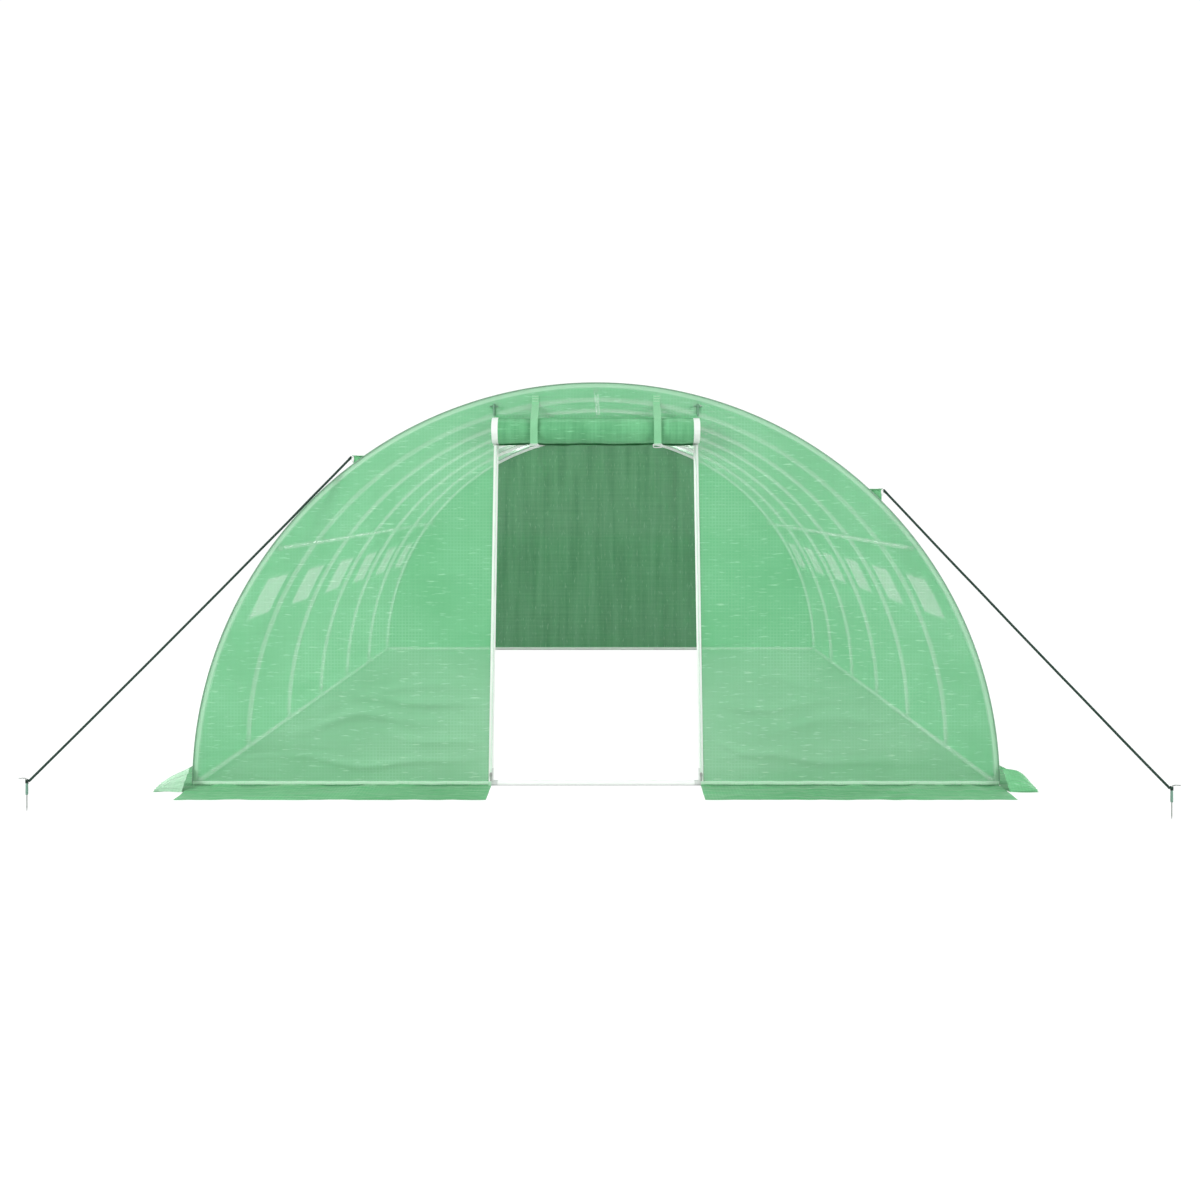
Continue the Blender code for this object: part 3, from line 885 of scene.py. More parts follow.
@dataclass
class Studio:
    """A white room: one camera in front of the door, soft lights, a pale floor."""

    eye: tuple[float, float, float] = (0.048, -9.85, 1.441)
    lens: float = 41.39
    shift: tuple[float, float] = (-0.00475, -0.0873)
    room_light: float = 0.66
    shade: float = 0.10  # what the room shows behind film

    def place_camera(self) -> None:
        """A level camera looking straight along the tunnel."""
        data = bpy.data.cameras.new("camera")
        data.lens, data.sensor_width = self.lens, 36.0
        data.shift_x, data.shift_y = self.shift
        data.clip_end = 200.0
        camera = bpy.data.objects.new("camera", data)
        camera.location = self.eye
        camera.rotation_euler = (math.pi / 2, 0.0, 0.0)
        bpy.context.scene.collection.objects.link(camera)
        bpy.context.scene.camera = camera

    def add_softbox(
        self, name: str, place: tuple, aim: tuple, size: float, power: float
    ) -> None:
        """A square area light that faces a point.

        Args:
            name: of the light.
            place: of its middle.
            aim: the point that it faces.
            size: of its side.
            power: in watts.
        """
        data = bpy.data.lights.new(name, "AREA")
        data.size, data.energy = size, power
        light = bpy.data.objects.new(name, data)
        light.location = place
        way = np.array(place) - np.array(aim)
        flat = math.hypot(way[0], way[1])
        light.rotation_euler = (
            math.atan2(flat, way[2]),
            0.0,
            math.atan2(way[1], way[0]) + math.pi / 2,
        )
        light.visible_camera = False
        bpy.context.scene.collection.objects.link(light)

    def light_room(self) -> None:
        """The white surround, softboxes round the tunnel and unseen lamps inside it."""
        scene = bpy.context.scene
        scene.world = bpy.data.worlds.new("white_room")
        scene.world.use_nodes = True
        scene.view_settings.view_transform = "Standard"
        tree = scene.world.node_tree
        tree.nodes.clear()
        path = add_node(tree, "LightPath")
        seen, open_view = path.outputs["Is Camera Ray"], self.open_view(tree, path)
        strength = remap(tree, open_view, (0.0, 1.0, self.shade, 1.05))
        way = add_node(tree, "SeparateXYZ", {0: add_node(tree, "TexCoord").outputs["Generated"]})
        ends = (-0.4, 0.9, self.room_light, self.room_light * 0.45)
        depth = remap(tree, way.outputs[1], ends, smooth=True)
        fill = add_node(tree, "Background", {0: (1.0, 1.0, 1.0, 1.0), 1: depth})
        white = add_node(tree, "Background", {0: (1.0, 1.0, 1.0, 1.0), 1: strength})
        add_node(tree, "OutputWorld", {0: mixed(tree, seen, fill, white).outputs[0]})
        middle = (0.0, 0.0, 0.8)
        softboxes = (
            ("key_softbox", (-7.0, -8.0, 4.4), (0.0, -1.0, 0.6), 3.0, 480.0),
            ("fill_softbox", (7.0, -8.0, 3.5), (0.0, -1.0, 0.8), 4.0, 285.0),
            ("left_softbox", (-9.0, 1.0, 4.0), middle, 5.0, 330.0),
            ("right_softbox", (9.0, 1.0, 4.0), middle, 5.0, 330.0),
            ("rear_glow_1", (-0.55, 2.90, 1.60), (-0.55, -3.0, 1.60), 0.4, 6.0),
            ("rear_glow_2", (0.55, 2.90, 1.60), (0.55, -3.0, 1.60), 0.4, 6.0),
            ("top_softbox", (1.0, -1.5, 9.0), middle, 5.0, 110.0),
        )
        for softbox in softboxes:
            self.add_softbox(*softbox)
        for i, y in enumerate((-2.1, -1.0, 0.2)):
            self.add_lamp(f"inner_lamp_{i + 1}", (0.0, y, 0.80), 12.0)

    def add_lamp(self, name: str, place: tuple, power: float) -> None:
        """A large soft lamp inside the tunnel that isn't seen itself."""
        data = bpy.data.lights.new(name, "POINT")
        data.energy, data.shadow_soft_size = power, 0.4
        lamp = bpy.data.objects.new(name, data)
        lamp.location = place
        lamp.visible_camera = lamp.visible_glossy = False
        bpy.context.scene.collection.objects.link(lamp)

    def open_view(self, tree: bpy.types.NodeTree, path: bpy.types.Node) -> bpy.types.NodeSocket:
        """1 where nothing see-through stands before the room, 0 behind film."""
        return math_node(tree, "LESS_THAN", path.outputs["Transparent Depth"], 0.5)

    def lay_floor(self) -> None:
        """A pale floor, lit so that it reads as white paper in the open.

        Through film it is seen in a painted shade of grey, as a floor in a tunnel's shade is:
        lighter under the tunnel, darker past it.
        """
        mesh = bpy.data.meshes.new("floor")
        half = 40.0
        corners = [(-half, -half), (half, -half), (half, half), (-half, half)]
        mesh.from_pydata([(x, y, -0.001) for x, y in corners], [], [(0, 1, 2, 3)])
        material, tree = new_material("pale_floor")
        path = add_node(tree, "LightPath")
        seen, open_view = path.outputs["Is Camera Ray"], self.open_view(tree, path)
        axes = add_node(tree, "SeparateXYZ", {0: add_node(tree, "TexCoord").outputs["Object"]})
        reach = [
            math_node(tree, "DIVIDE", math_node(tree, "ABSOLUTE", axes.outputs[i]), size)
            for i, size in enumerate((HOOP_RADIUS, HALF_LENGTH))
        ]
        outside = math_node(tree, "GREATER_THAN", math_node(tree, "MAXIMUM", *reach), 1.0)
        # painted shade: the floor's grey through film, lighter under the tunnel than past it
        shade_grey_through_film = two_tone(tree, outside, linear("#AEAEAE"), linear("#5C5C5C"))
        paper = add_node(tree, "BsdfDiffuse", {"Color": linear("#D8D8D8")})
        shaded = add_node(tree, "BsdfDiffuse", {"Color": shade_grey_through_film})
        lit = add_node(tree, "BsdfDiffuse", {"Color": linear("#5A5A5A")})
        glow = add_node(tree, "Emission", {"Strength": 0.985})
        white = add_node(tree, "AddShader", {0: lit.outputs[0], 1: glow.outputs[0]})
        result = mixed(tree, seen, paper, mixed(tree, open_view, shaded, white))
        add_node(tree, "OutputMaterial", {0: result.outputs[0]})
        mesh.materials.append(material)
        floor = bpy.data.objects.new("floor", mesh)
        bpy.context.scene.collection.objects.link(floor)
        floor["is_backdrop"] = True

    def build(self) -> None:
        """Camera, lights and floor."""
        self.place_camera()
        self.light_room()
        self.lay_floor()
        log.info("studio ready")


# --- Guy ropes ------------------------------------------------------------------------

LEFT_ROPE = [
    (-1.213, -3.001, 1.632),
    (-1.311, -3.041, 1.523),
    (-1.409, -3.081, 1.415),
    (-1.506, -3.121, 1.306),
    (-1.604, -3.161, 1.199),
    (-1.702, -3.202, 1.091),
    (-1.799, -3.242, 0.984),
    (-1.897, -3.282, 0.877),
    (-1.995, -3.322, 0.770),
    (-2.092, -3.363, 0.664),
    (-2.190, -3.403, 0.558),
    (-2.288, -3.443, 0.452),
    (-2.385, -3.484, 0.347),
    (-2.483, -3.524, 0.242),
    (-2.581, -3.564, 0.137),
]
RIGHT_ROPE = [
    (1.426, -3.002, 1.468),
    (1.507, -3.053, 1.372),
    (1.588, -3.104, 1.275),
    (1.668, -3.155, 1.179),
    (1.749, -3.206, 1.083),
    (1.830, -3.257, 0.988),
    (1.911, -3.308, 0.892),
    (1.991, -3.359, 0.797),
    (2.072, -3.410, 0.702),
    (2.153, -3.461, 0.607),
    (2.234, -3.512, 0.513),
    (2.315, -3.563, 0.418),
    (2.395, -3.614, 0.324),
    (2.476, -3.665, 0.230),
    (2.557, -3.716, 0.137),
]


@dataclass
class GuyRope:
    """A twisted rope from a webbing tab on the front hoop down to a hooked peg."""

    side: Side
    route: list[tuple[float, float, float]]
    finishes: Finishes
    diameter: float = 0.010
    peg_radius: float = 0.003
    strands: int = 3
    lay_length: float = 0.045  # one turn of a strand

    def build(self) -> None:
        """Tab, rope, knot, sleeve and peg."""
        label = self.side.label
        path = smooth_route(self.route, 30)
        rope = self.make_rope(path)
        self.make_tab()
        knot = self.make_knot(path)
        sleeve = self.make_sleeve()
        peg = self.make_peg()
        length = float(run_along(path)[-1])
        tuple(self.route[0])
        log.info("guy_rope_%s is %.3f m long", label, length)

    def make_rope(self, path: Array) -> bpy.types.Object:
        """A rope of twisted strands.

        The radius at turn t and run s is R (1.10 + 0.12 |cos(n/2 (t - 2 pi s / lay))|).
        """
        run = run_along(path)
        turn = np.linspace(0, 2 * math.pi, 18, endpoint=False)
        phase = turn[None] - 2 * math.pi * run[:, None] / self.lay_length
        radius = self.diameter / 2 * (1.10 + 0.12 * np.abs(np.cos(self.strands / 2 * phase)))
        ring = np.stack([np.cos(turn), np.sin(turn)], axis=-1)[None] * radius[..., None]
        patch = sweep(path, ring, Y_AXIS)
        name = f"guy_rope_{self.side.label}_strands"
        node = f"guy_rope_{self.side.label}"
        return add_piece(name, [patch], [self.finishes.rope], replaces=(node,), sharp=60)

    def make_tab(self) -> None:
        """A folded webbing tab, the gusset of film under it, and a wire ring at its tip.

        The gusset fills the corner between tab and arch: rows z from the tab down to the arch,
        columns x from tip to root, with puckers sin(3 pi s) of 1.5 mm.
        """
        node = f"rope_tab_{self.side.label}"
        low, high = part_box(node)
        sign = self.side.value
        root, tip = (low.x, high.x) if sign > 0 else (high.x, low.x)
        middle, thick = (low.z + high.z) / 2, high.z - low.z
        path = line((root, (low.y + high.y) / 2, middle), (tip, (low.y + high.y) / 2, middle), 8)
        outline = squircle(high.y - low.y, thick, 8.0, 28)
        strap = sweep(path, outline, Y_AXIS)
        rim = [(-0.0006, 0.007), (0.0012, 0.0075), (0.0016, 0.0060), (0.0008, 0.0042)]
        spot = np.array([tip - sign * 0.012, (low.y + high.y) / 2, high.z])
        eye = turned_piece(rim, spot, Z_AXIS, 20, finish=1)
        share, drop = np.meshgrid(np.linspace(0, 1, 20), np.linspace(0, 1, 14), indexing="ij")
        x = tip - sign * 0.003 + (root - tip) * share
        arch = np.sqrt(np.clip((COVER_RADIUS + 0.0020) ** 2 - x**2, 0, None))
        z = low.z - (low.z - np.minimum(arch, low.z)) * drop
        puckers = 0.0015 * np.sin(3 * math.pi * share) * np.sin(math.pi * drop)
        web = np.stack([x, -3.006 + puckers, z], axis=-1)
        gusset = grid_patch(web, np.stack([x, z], axis=-1), flip=sign > 0, finish=2)
        turn = np.linspace(0, 2 * math.pi, 33)
        ring = np.array([tip, -3.006, low.z - 0.012]) + np.stack(
            [0.005 * np.cos(turn), 0.0 * turn, 0.0175 * np.sin(turn)], axis=-1
        )
        wire = sweep(ring, circle(0.0018, 8), Y_AXIS, capped=False, finish=1)
        add_piece(
            f"{node}_webbing",
            [strap, eye, gusset, wire],
            [self.finishes.webbing, self.finishes.fitting, self.finishes.ground_film],
            replaces=(node,),
        )

    def make_knot(self, path: Array) -> bpy.types.Object:
        """Three turns of rope pulled tight round the rope behind the tab."""
        coils = np.linspace(0, 1, 90)
        spot = 0.004 + 0.018 * coils
        run = run_along(path)
        centre = np.stack([np.interp(spot, run, path[:, k]) for k in range(3)], axis=-1)
        way = (path[6] - path[0]) / np.linalg.norm(path[6] - path[0])
        across = np.cross(way, Y_AXIS)
        across /= np.linalg.norm(across)
        turn = coils * 3.2 * 2 * math.pi
        off = np.cos(turn)[:, None] * across + np.sin(turn)[:, None] * np.cross(way, across)
        wound = sweep(centre + off * self.diameter * 0.56, circle(0.0018, 10), way)
        name = f"guy_rope_{self.side.label}_knot"
        return add_piece(name, [wound], [self.finishes.rope], sharp=60)

    def pin(self) -> Array:
        """The foot of the peg's upright, on the ground."""
        low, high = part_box(f"peg_{self.side.label}")
        near = high.x if self.side is Side.LEFT else low.x
        return np.array([near + self.side.value * self.peg_radius, (low.y + high.y) / 2, 0.0])

    def make_sleeve(self) -> bpy.types.Object:
        """The hitch at the peg: rope wound round the pin, over a moulded sleeve."""
        label = self.side.label
        top = self.pin() + (0, 0, 0.137)
        profile = [
            (0.0, 0.0045),
            (0.001, 0.0060),
            (0.010, 0.0064),
            (0.045, 0.0060),
            (0.052, 0.0052),
            (0.055, 0.0042),
        ]
        sleeve = turned_piece(profile, top - (0, 0, 0.060), Z_AXIS, 18, finish=1)
        turn = np.linspace(0, 3.5 * 2 * math.pi, 90)
        coil = np.stack(
            [0.0052 * np.cos(turn), 0.0052 * np.sin(turn), np.linspace(-0.008, 0.010, 90)], axis=-1
        )
        eye = sweep(top + coil, circle(0.0026, 10), Z_AXIS)
        name = f"guy_rope_{label}_loop"
        return add_piece(
            name, [eye, sleeve], [self.finishes.rope, self.finishes.sleeve], sharp=60
        )

    def make_peg(self) -> bpy.types.Object:
        """A bent wire peg with a ground point and a hooked arm."""
        node = f"peg_{self.side.label}"
        low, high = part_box(node)
        sign = self.side.value
        pin, y, _ = self.pin()
        tip = low.x if sign < 0 else high.x
        bend = 0.012
        top = high.z - self.peg_radius
        turn = np.linspace(0, math.pi / 2, 9)
        corner = np.stack(
            [
                pin + sign * bend * (1 - np.cos(turn)),
                np.full(9, y),
                top - bend + bend * np.sin(turn),
            ],
            axis=-1,
        )
        straight = line((pin, y, 0.0), (pin, y, top - bend - 0.001), 14)
        arm = line((pin + sign * (bend + 0.001), y, top), (tip, y, top), 4)
        path = np.concatenate([straight, corner, arm])
        radii = np.full(len(path), self.peg_radius)
        radii[0], radii[1] = 0.0005, self.peg_radius * 0.8
        radii[-1] = self.peg_radius * 0.85
        wire = sweep(path, circle(radii, 14), Y_AXIS)
        return add_piece(
            f"{node}_wire", [wire], [self.finishes.peg], replaces=(node,), sharp=50
        )


# --- Frame ----------------------------------------------------------------------------


@dataclass
class TubeFrame:
    """Hoops, rails, purlins and posts, with the fittings that hold them together."""

    finishes: Finishes
    wall: float = TUBE_RADIUS
    sleeve_length: float = 0.11
    tee_radius: float = 0.0131
    tee_reach: float = 0.034
    collar_radius: float = 0.0138
    sleeve_angles: tuple[float, ...] = (22.5, 67.5, 112.5, 157.5)

    def build(self) -> None:
        """Every tube and fitting, front to rear."""
        for i, y in enumerate(HOOP_Y):
            self.make_hoop(i + 1, y)
        self.make_rails()
        self.make_purlins()
        self.make_posts()
        self.make_feet()
        self.make_clamps()

    def make_hoop(self, number: int, y: float) -> None:
        """A half circle of tube in five lengths, each swaged into the next by a sleeve.

        The path is radius (cos t, sin t); a sleeve is a ring of it a little thicker, and a
        screw pins each one on the inner side.
        """
        foot = math.degrees(math.asin(0.0255 / HOOP_RADIUS))
        path = on_arc(HOOP_RADIUS, np.linspace(foot, 180 - foot, 121), y)
        patches = [sweep(path, circle(self.wall, 20), Y_AXIS)]
        half = math.degrees(self.sleeve_length / 2 / HOOP_RADIUS)
        for angle in self.sleeve_angles:
            spans = np.linspace(angle - half, angle + half, 9)
            inner = on_arc(HOOP_RADIUS - 0.0006, spans, y)
            ring = np.where(np.arange(9) % 8 == 0, self.wall - 0.0005, self.wall + 0.0004)
            patches.append(sweep(inner, circle(ring, 20), Y_AXIS))
            inward = -on_arc(1.0, angle, 0.0)
            base = on_arc(HOOP_RADIUS - self.wall - 0.0004, angle, y)
            patches.append(bolt(base, inward, 0.0042, finish=1))
        add_piece(
            f"hoop_{number}_tube",
            patches,
            [self.finishes.tube, self.finishes.zinc],
            replaces=(f"hoop_{number}",),
        )

    def make_rails(self) -> None:
        """Round rails on the ground, in lengths that meet at the tees."""
        for label in ("left", "right", "front", "rear"):
            node = f"ground_rail_{label}"
            middle, size = box_middle(node)
            along = X_AXIS if label in ("front", "rear") else Y_AXIS
            half = size @ along
            bar = tube(middle - along * half, middle + along * half, self.wall, Z_AXIS)
            add_piece(
                f"{node}_tube", [bar], [self.finishes.tube], replaces=(node,)
            )

    def make_purlins(self) -> None:
        """Bars along the tunnel, each of three lengths joined by swaged sleeves."""
        for node in ("ridge_purlin", "side_purlin_left", "side_purlin_right"):
            middle, size = box_middle(node)
            half = size * Y_AXIS
            patches = [tube(middle - half, middle + half, self.wall, Z_AXIS)]
            for y in (-1.5, 0.5, 2.5):
                centre = middle * (1, 0, 1) + (0, y, 0)
                reach = 0.05 * Y_AXIS
                patches.append(tube(centre - reach, centre + reach, self.wall + 0.0006, Z_AXIS))
            add_piece(
                f"{node}_tube", patches, [self.finishes.tube], replaces=(node,)
            )

    def make_posts(self) -> None:
        """The two door posts: a tee at the foot, a bolted collar and a wire tie at the arch."""
        for side in Side:
            node = f"door_post_{side.label}"
            low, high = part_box(node)
            y = (low.y + high.y) / 2
            inner, outer = sorted((abs(low.x), abs(high.x)))
            foot = np.array([side.value * (outer - self.wall), y, low.z])
            head = np.array([side.value * (inner + self.wall), y, high.z])
            way = (head - foot) / np.linalg.norm(head - foot)
            post = tube(foot, head, self.wall, Y_AXIS)
            socket = [
                (0.0, 0.0132),
                (0.004, self.collar_radius),
                (0.060, self.collar_radius),
                (0.066, 0.0134),
                (0.067, 0.0128),
            ]
            tee = turned_piece(socket, foot - way * 0.004, way, 22, finish=1)
            collar = turned_piece(socket, head - way * 0.070, way, 22, finish=1)
            saddle_at = foot - Z_AXIS * 0.0113
            saddle_ends = (saddle_at - X_AXIS * self.tee_reach, saddle_at + X_AXIS * self.tee_reach)
            saddle = sweep(line(*saddle_ends, 5), circle(self.collar_radius, 22), Y_AXIS, finish=1)
            tie = np.array([side.value * (inner + self.wall + 0.012), WALL_Y - 0.003, high.z])
            twist = tie - Z_AXIS * 0.022
            wire_tie = [
                tube(tie - Z_AXIS * 0.068, tie - Z_AXIS * 0.010, 0.005, Y_AXIS, finish=3),
                tube(twist - X_AXIS * 0.020, twist + X_AXIS * 0.020, 0.003, Y_AXIS, finish=3),
            ]
            pinned, lobe = head - way * 0.030, X_AXIS * 0.024
            pin_end = X_AXIS * 0.026
            screws = [
                bolt(foot + way * 0.034 + Y_AXIS * self.collar_radius, Y_AXIS, 0.0045, finish=1),
                tube(pinned - pin_end, pinned + pin_end, 0.0060, Y_AXIS, finish=2),
                bolt(pinned - lobe, -X_AXIS, 0.0080, finish=2),
                bolt(pinned + lobe, X_AXIS, 0.0080, finish=2),
            ]
            add_piece(
                f"{node}_tube",
                [post, tee, collar, saddle, *wire_tie, *screws],
                [
                    self.finishes.tube,
                    self.finishes.fitting,
                    self.finishes.dark_bolt,
                    self.finishes.green_tie,
                ],
                replaces=(node,),
            )

    def make_feet(self) -> None:
        """A tee under every hoop: a run on the side rail and a socket up the hoop's foot."""
        for side in Side:
            patches: list[Patch] = []
            socket = [
                (0.010, self.tee_radius),
                (0.070, self.tee_radius),
                (0.074, 0.0129),
                (0.075, 0.0126),
            ]
            x = side.value * HOOP_RADIUS
            up = on_arc(1.0, 89.0 if side is Side.RIGHT else 91.0, 0.0)
            inward = -side.value * X_AXIS
            for y in HOOP_Y:
                start = (x, max(y - self.tee_reach, HOOP_Y[0] - self.wall), self.wall)
                end = (x, min(y + self.tee_reach, HOOP_Y[-1] + self.wall), self.wall)
                patches.append(tube(start, end, self.tee_radius, Z_AXIS))
                patches.append(turned_piece(socket, (x, y, self.wall), up, 22))
                screw_at = np.array([x, y, 0.055]) + inward * self.tee_radius
                patches.append(bolt(screw_at, inward, 0.0045, 1))
            add_piece(
                f"hoop_feet_{side.label}",
                patches,
                [self.finishes.fitting, self.finishes.dark_bolt],
            )

    def make_clamps(self) -> None:
        """Where a purlin crosses a hoop: two bent straps and a bolt through both."""
        for node in ("ridge_purlin", "side_purlin_left", "side_purlin_right"):
            centre, _ = box_middle(node)
            out = centre * (1, 0, 1) / np.linalg.norm(centre * (1, 0, 1))
            across = np.cross(Y_AXIS, out)
            patches: list[Patch] = []
            for y in HOOP_Y:
                middle = centre * (1, 0, 1) + (0, y, 0)
                turn = np.linspace(-math.pi, 0, 15)
                bend = self.collar_radius
                strap = bend * np.stack([np.cos(turn), np.sin(turn)], axis=-1)
                strap = np.concatenate([[(-bend, 0.020)], strap, [(bend, 0.020)]])
                path = middle + strap[:, :1] * across + strap[:, 1:] * out
                patches.append(sweep(path, squircle(0.022, 0.0022, 6.0, 12), Y_AXIS))
                patches.append(bolt(middle - out * 0.0150, -out, 0.0055, finish=1))
            add_piece(
                f"{node}_clamps", patches, [self.finishes.zinc, self.finishes.dark_bolt]
            )


# --- Film -----------------------------------------------------------------------------


@dataclass
class Window:
    """One netted opening: where it lies on the arc and along the tunnel."""

    side: Side
    number: int
    low_angle: float
    high_angle: float
    low_y: float
    high_y: float

    @staticmethod
    def read(side: Side, number: int) -> "Window":
        """The window's place, from its CAD screen."""
        low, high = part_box(f"window_screen_{side.label}_{number}")
        angle_low = math.degrees(math.asin(low.z / COVER_RADIUS))
        angle_high = math.degrees(math.asin(min(high.z / (COVER_RADIUS + 0.002), 1.0)))
        return Window(side, number, angle_low, angle_high, low.y, high.y)

    def angle(self, above_ground: float | Array) -> float | Array:
        """Degrees round the arc from +X, for degrees above the ground on this side."""
        return above_ground if self.side is Side.RIGHT else 180.0 - above_ground


def steps_between(keys: list[float], largest: float) -> Array:
    """The keys in order, with even steps no larger than this between them."""
    stations = [np.array([keys[0]])]
    for low, high in zip(keys, keys[1:]):
        count = max(1, math.ceil((high - low) / largest))
        stations.append(np.linspace(low, high, count + 1)[1:])
    return np.concatenate(stations)


@dataclass
class FilmShell:
    """The roof film and the two end walls."""

    finishes: Finishes
    windows: list[Window]
    sag: float = 0.007  # between two hoops
    rows: int = 190  # of a wall's grid, up to the doorway's head
    columns: int = 120  # of a wall's grid, on each side of the doorway

    def build(self) -> None:
        """Roof, walls and the bindings at their edges."""
        self.make_roof()
        self.make_front()
        self.make_rear()
        self.make_bindings()
        self.make_hems()

    def roof_radius(self, angle: Array, y: Array) -> Array:
        """Distance of the film from the axis.

        The film lies on the hoops and sags between them by sag * sin^2(pi (y - y0) / bay),
        less near the ground; pulled wrinkles run at a slant from hoop to hoop.
        """
        bay = (HOOP_Y[-1] - HOOP_Y[0]) / BAYS
        between = np.sin(np.pi * (y - HOOP_Y[0]) / bay) ** 2
        off_ground = np.sin(np.radians(np.clip(angle, 0, 180))) ** 0.5
        arc = np.radians(angle) * COVER_RADIUS
        pulled = ripples(arc, y, 11, 7, (0.16, 0.5), 70.0) * 0.0018
        slack = ripples(arc, y, 12, 6, (0.35, 1.1), 15.0) * 0.0022
        return (
            COVER_RADIUS
            + 0.0012
            - self.sag * between * off_ground
            + (pulled + slack) * between * off_ground
        )

    def make_roof(self) -> None:
        """The roof film, with an opening at each window."""
        right = [w for w in self.windows if w.side is Side.RIGHT]
        low, high = right[0].low_angle - 0.01, right[0].high_angle + 0.01
        keys = [0.0, low, high, 180 - high, 180 - low, 180.0]
        angles = steps_between(keys, 1.25)
        edge = -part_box("roof_cover")[0].y
        y_keys = [-edge] + [y for w in right for y in (w.low_y, w.high_y)] + [edge]
        ys = steps_between(y_keys, 0.035)
        grid_a, grid_y = np.meshgrid(angles, ys, indexing="ij")
        points = on_arc(self.roof_radius(grid_a, grid_y), grid_a, grid_y)
        uv = np.stack([grid_y, np.radians(grid_a) * COVER_RADIUS], axis=-1)
        mid_a = (grid_a[:-1, :-1] + grid_a[1:, 1:]) / 2
        mid_y = (grid_y[:-1, :-1] + grid_y[1:, 1:]) / 2
        keep = np.ones(mid_a.shape, bool)
        for window in right:
            above = np.minimum(mid_a, 180 - mid_a)
            inside = (above > low) & (above < high)
            keep &= ~(inside & (mid_y > window.low_y) & (mid_y < window.high_y))
        roof = add_piece(
            "roof_film",
            [grid_patch(points, uv, keep=keep, flip=True)],
            [self.finishes.film],
            replaces=("roof_cover",),
            sharp=180,
        )

    def wall_grid(self, doorway: bool) -> tuple[Array, Array, Array]:
        """(x, z, which columns lie over the doorway) of an end wall.

        Rows are heights R sin t, and columns run from arch to doorway edge, across the
        doorway, and on to the arch: x = edge * share, between the borders of its stretch.
        """
        radius = HOOP_RADIUS + TUBE_RADIUS
        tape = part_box("zip_tape_left")
        head = tape[1].z
        foot_edge = -tape[0].x - 0.014
        head_edge = -tape[1].x
        turn = np.concatenate(
            [
                np.linspace(0, math.asin(head / radius), self.rows + 1),
                np.linspace(math.asin(head / radius), math.pi / 2 - 0.004, 26)[1:],
            ]
        )
        z = radius * np.sin(turn)
        reach = radius * np.cos(turn)
        at_head = radius * math.cos(math.asin(head / radius))
        border = foot_edge + (head_edge - foot_edge) * z / head
        border = np.where(z > head, head_edge * reach / at_head, border)
        share = np.linspace(0, 1, self.columns + 1)
        outer = -reach[:, None] + (reach - border)[:, None] * share
        across = -border[:, None] + 2 * border[:, None] * np.linspace(0, 1, 41)[1:]
        x = np.concatenate([outer, across, -outer[:, ::-1][:, 1:]], axis=1)
        grid_z = np.broadcast_to(z[:, None], x.shape)
        open_cells = np.zeros((x.shape[0] - 1, x.shape[1] - 1), bool)
        if doorway:
            open_cells[: self.rows, self.columns : self.columns + 40] = True
        return x, grid_z, open_cells

    def make_front(self) -> None:
        """The front film, slack near the ground, with the doorway left out.

        It stands out by creases: bells across curves z0 + a sin(k x), and slow ripples.
        """
        x, z, open_cells = self.wall_grid(True)
        radius = HOOP_RADIUS + TUBE_RADIUS
        depth = np.sqrt(np.clip(radius**2 - z**2, 0, None)) - np.abs(x)
        edge = np.abs(np.abs(x) - 0.51)
        free = ease(depth, 0.01, 0.25) * ease(edge, 0.02, 0.16) * ease(z, 0.015, 0.10)
        lean = 0.02 * np.sin(5.1 * x + 0.6) + 0.012 * np.sin(11.0 * x + 2.0)
        folds = (
            0.016 * bump(z, 0.41 + lean, 0.022) * bump(np.abs(x), 0.85, 0.30)
            + 0.014 * bump(z, 0.31 + 1.8 * lean, 0.024) * bump(np.abs(x), 1.15, 0.28)
            + 0.013 * bump(z, 0.13 - lean, 0.018) * bump(np.abs(x), 1.05, 0.45)
            + 0.010 * bump(z, 0.22 + 2.2 * lean, 0.016) * bump(np.abs(x), 0.75, 0.22)
            + 0.008 * bump(z, 0.50 - 1.5 * lean, 0.022) * bump(np.abs(x), 1.00, 0.35)
            + 0.006 * bump(z, 1.05 - lean, 0.03) * bump(np.abs(x), 0.72, 0.15)
        )
        folds *= np.where(x < 0, 1.0, 0.55)
        slow = (ripples(x, z, 21, 7, (0.12, 0.45), 82.0) + 1.2) * 0.0026
        slow *= 0.4 + 0.6 * ease(-z, -0.9, -0.2)
        y = WALL_Y - free * (folds + slow)
        points = np.stack([x, y, z], axis=-1)
        wall = add_piece(
            "front_film",
            [grid_patch(points, np.stack([x, z], axis=-1), keep=~open_cells, flip=True)],
            [self.finishes.wall_film],
            replaces=("front_wall",),
            sharp=180,
        )

    def make_rear(self) -> None:
        """The closed rear film, gathered a little into upright folds.

        It stands out by upright ripples in x whose depth grows towards the middle.
        """
        x, z, _ = self.wall_grid(False)
        radius = HOOP_RADIUS + TUBE_RADIUS
        depth = np.sqrt(np.clip(radius**2 - z**2, 0, None)) - np.abs(x)
        free = ease(depth, 0.01, 0.30) * ease(z, 0.02, 0.20)
        folds = ripples(x, z * 0.12, 31, 9, (0.07, 0.26), 0.0)
        slow = ripples(x, z, 32, 5, (0.3, 0.8), 20.0)
        y = -WALL_Y + free * (0.006 + 0.0036 * folds + 0.0016 * slow)
        points = np.stack([x, y, z], axis=-1)
        wall = add_piece(
            "rear_film",
            [grid_patch(points, np.stack([x, z], axis=-1))],
            [self.finishes.rear_film],
            replaces=("rear_wall",),
            sharp=180,
        )

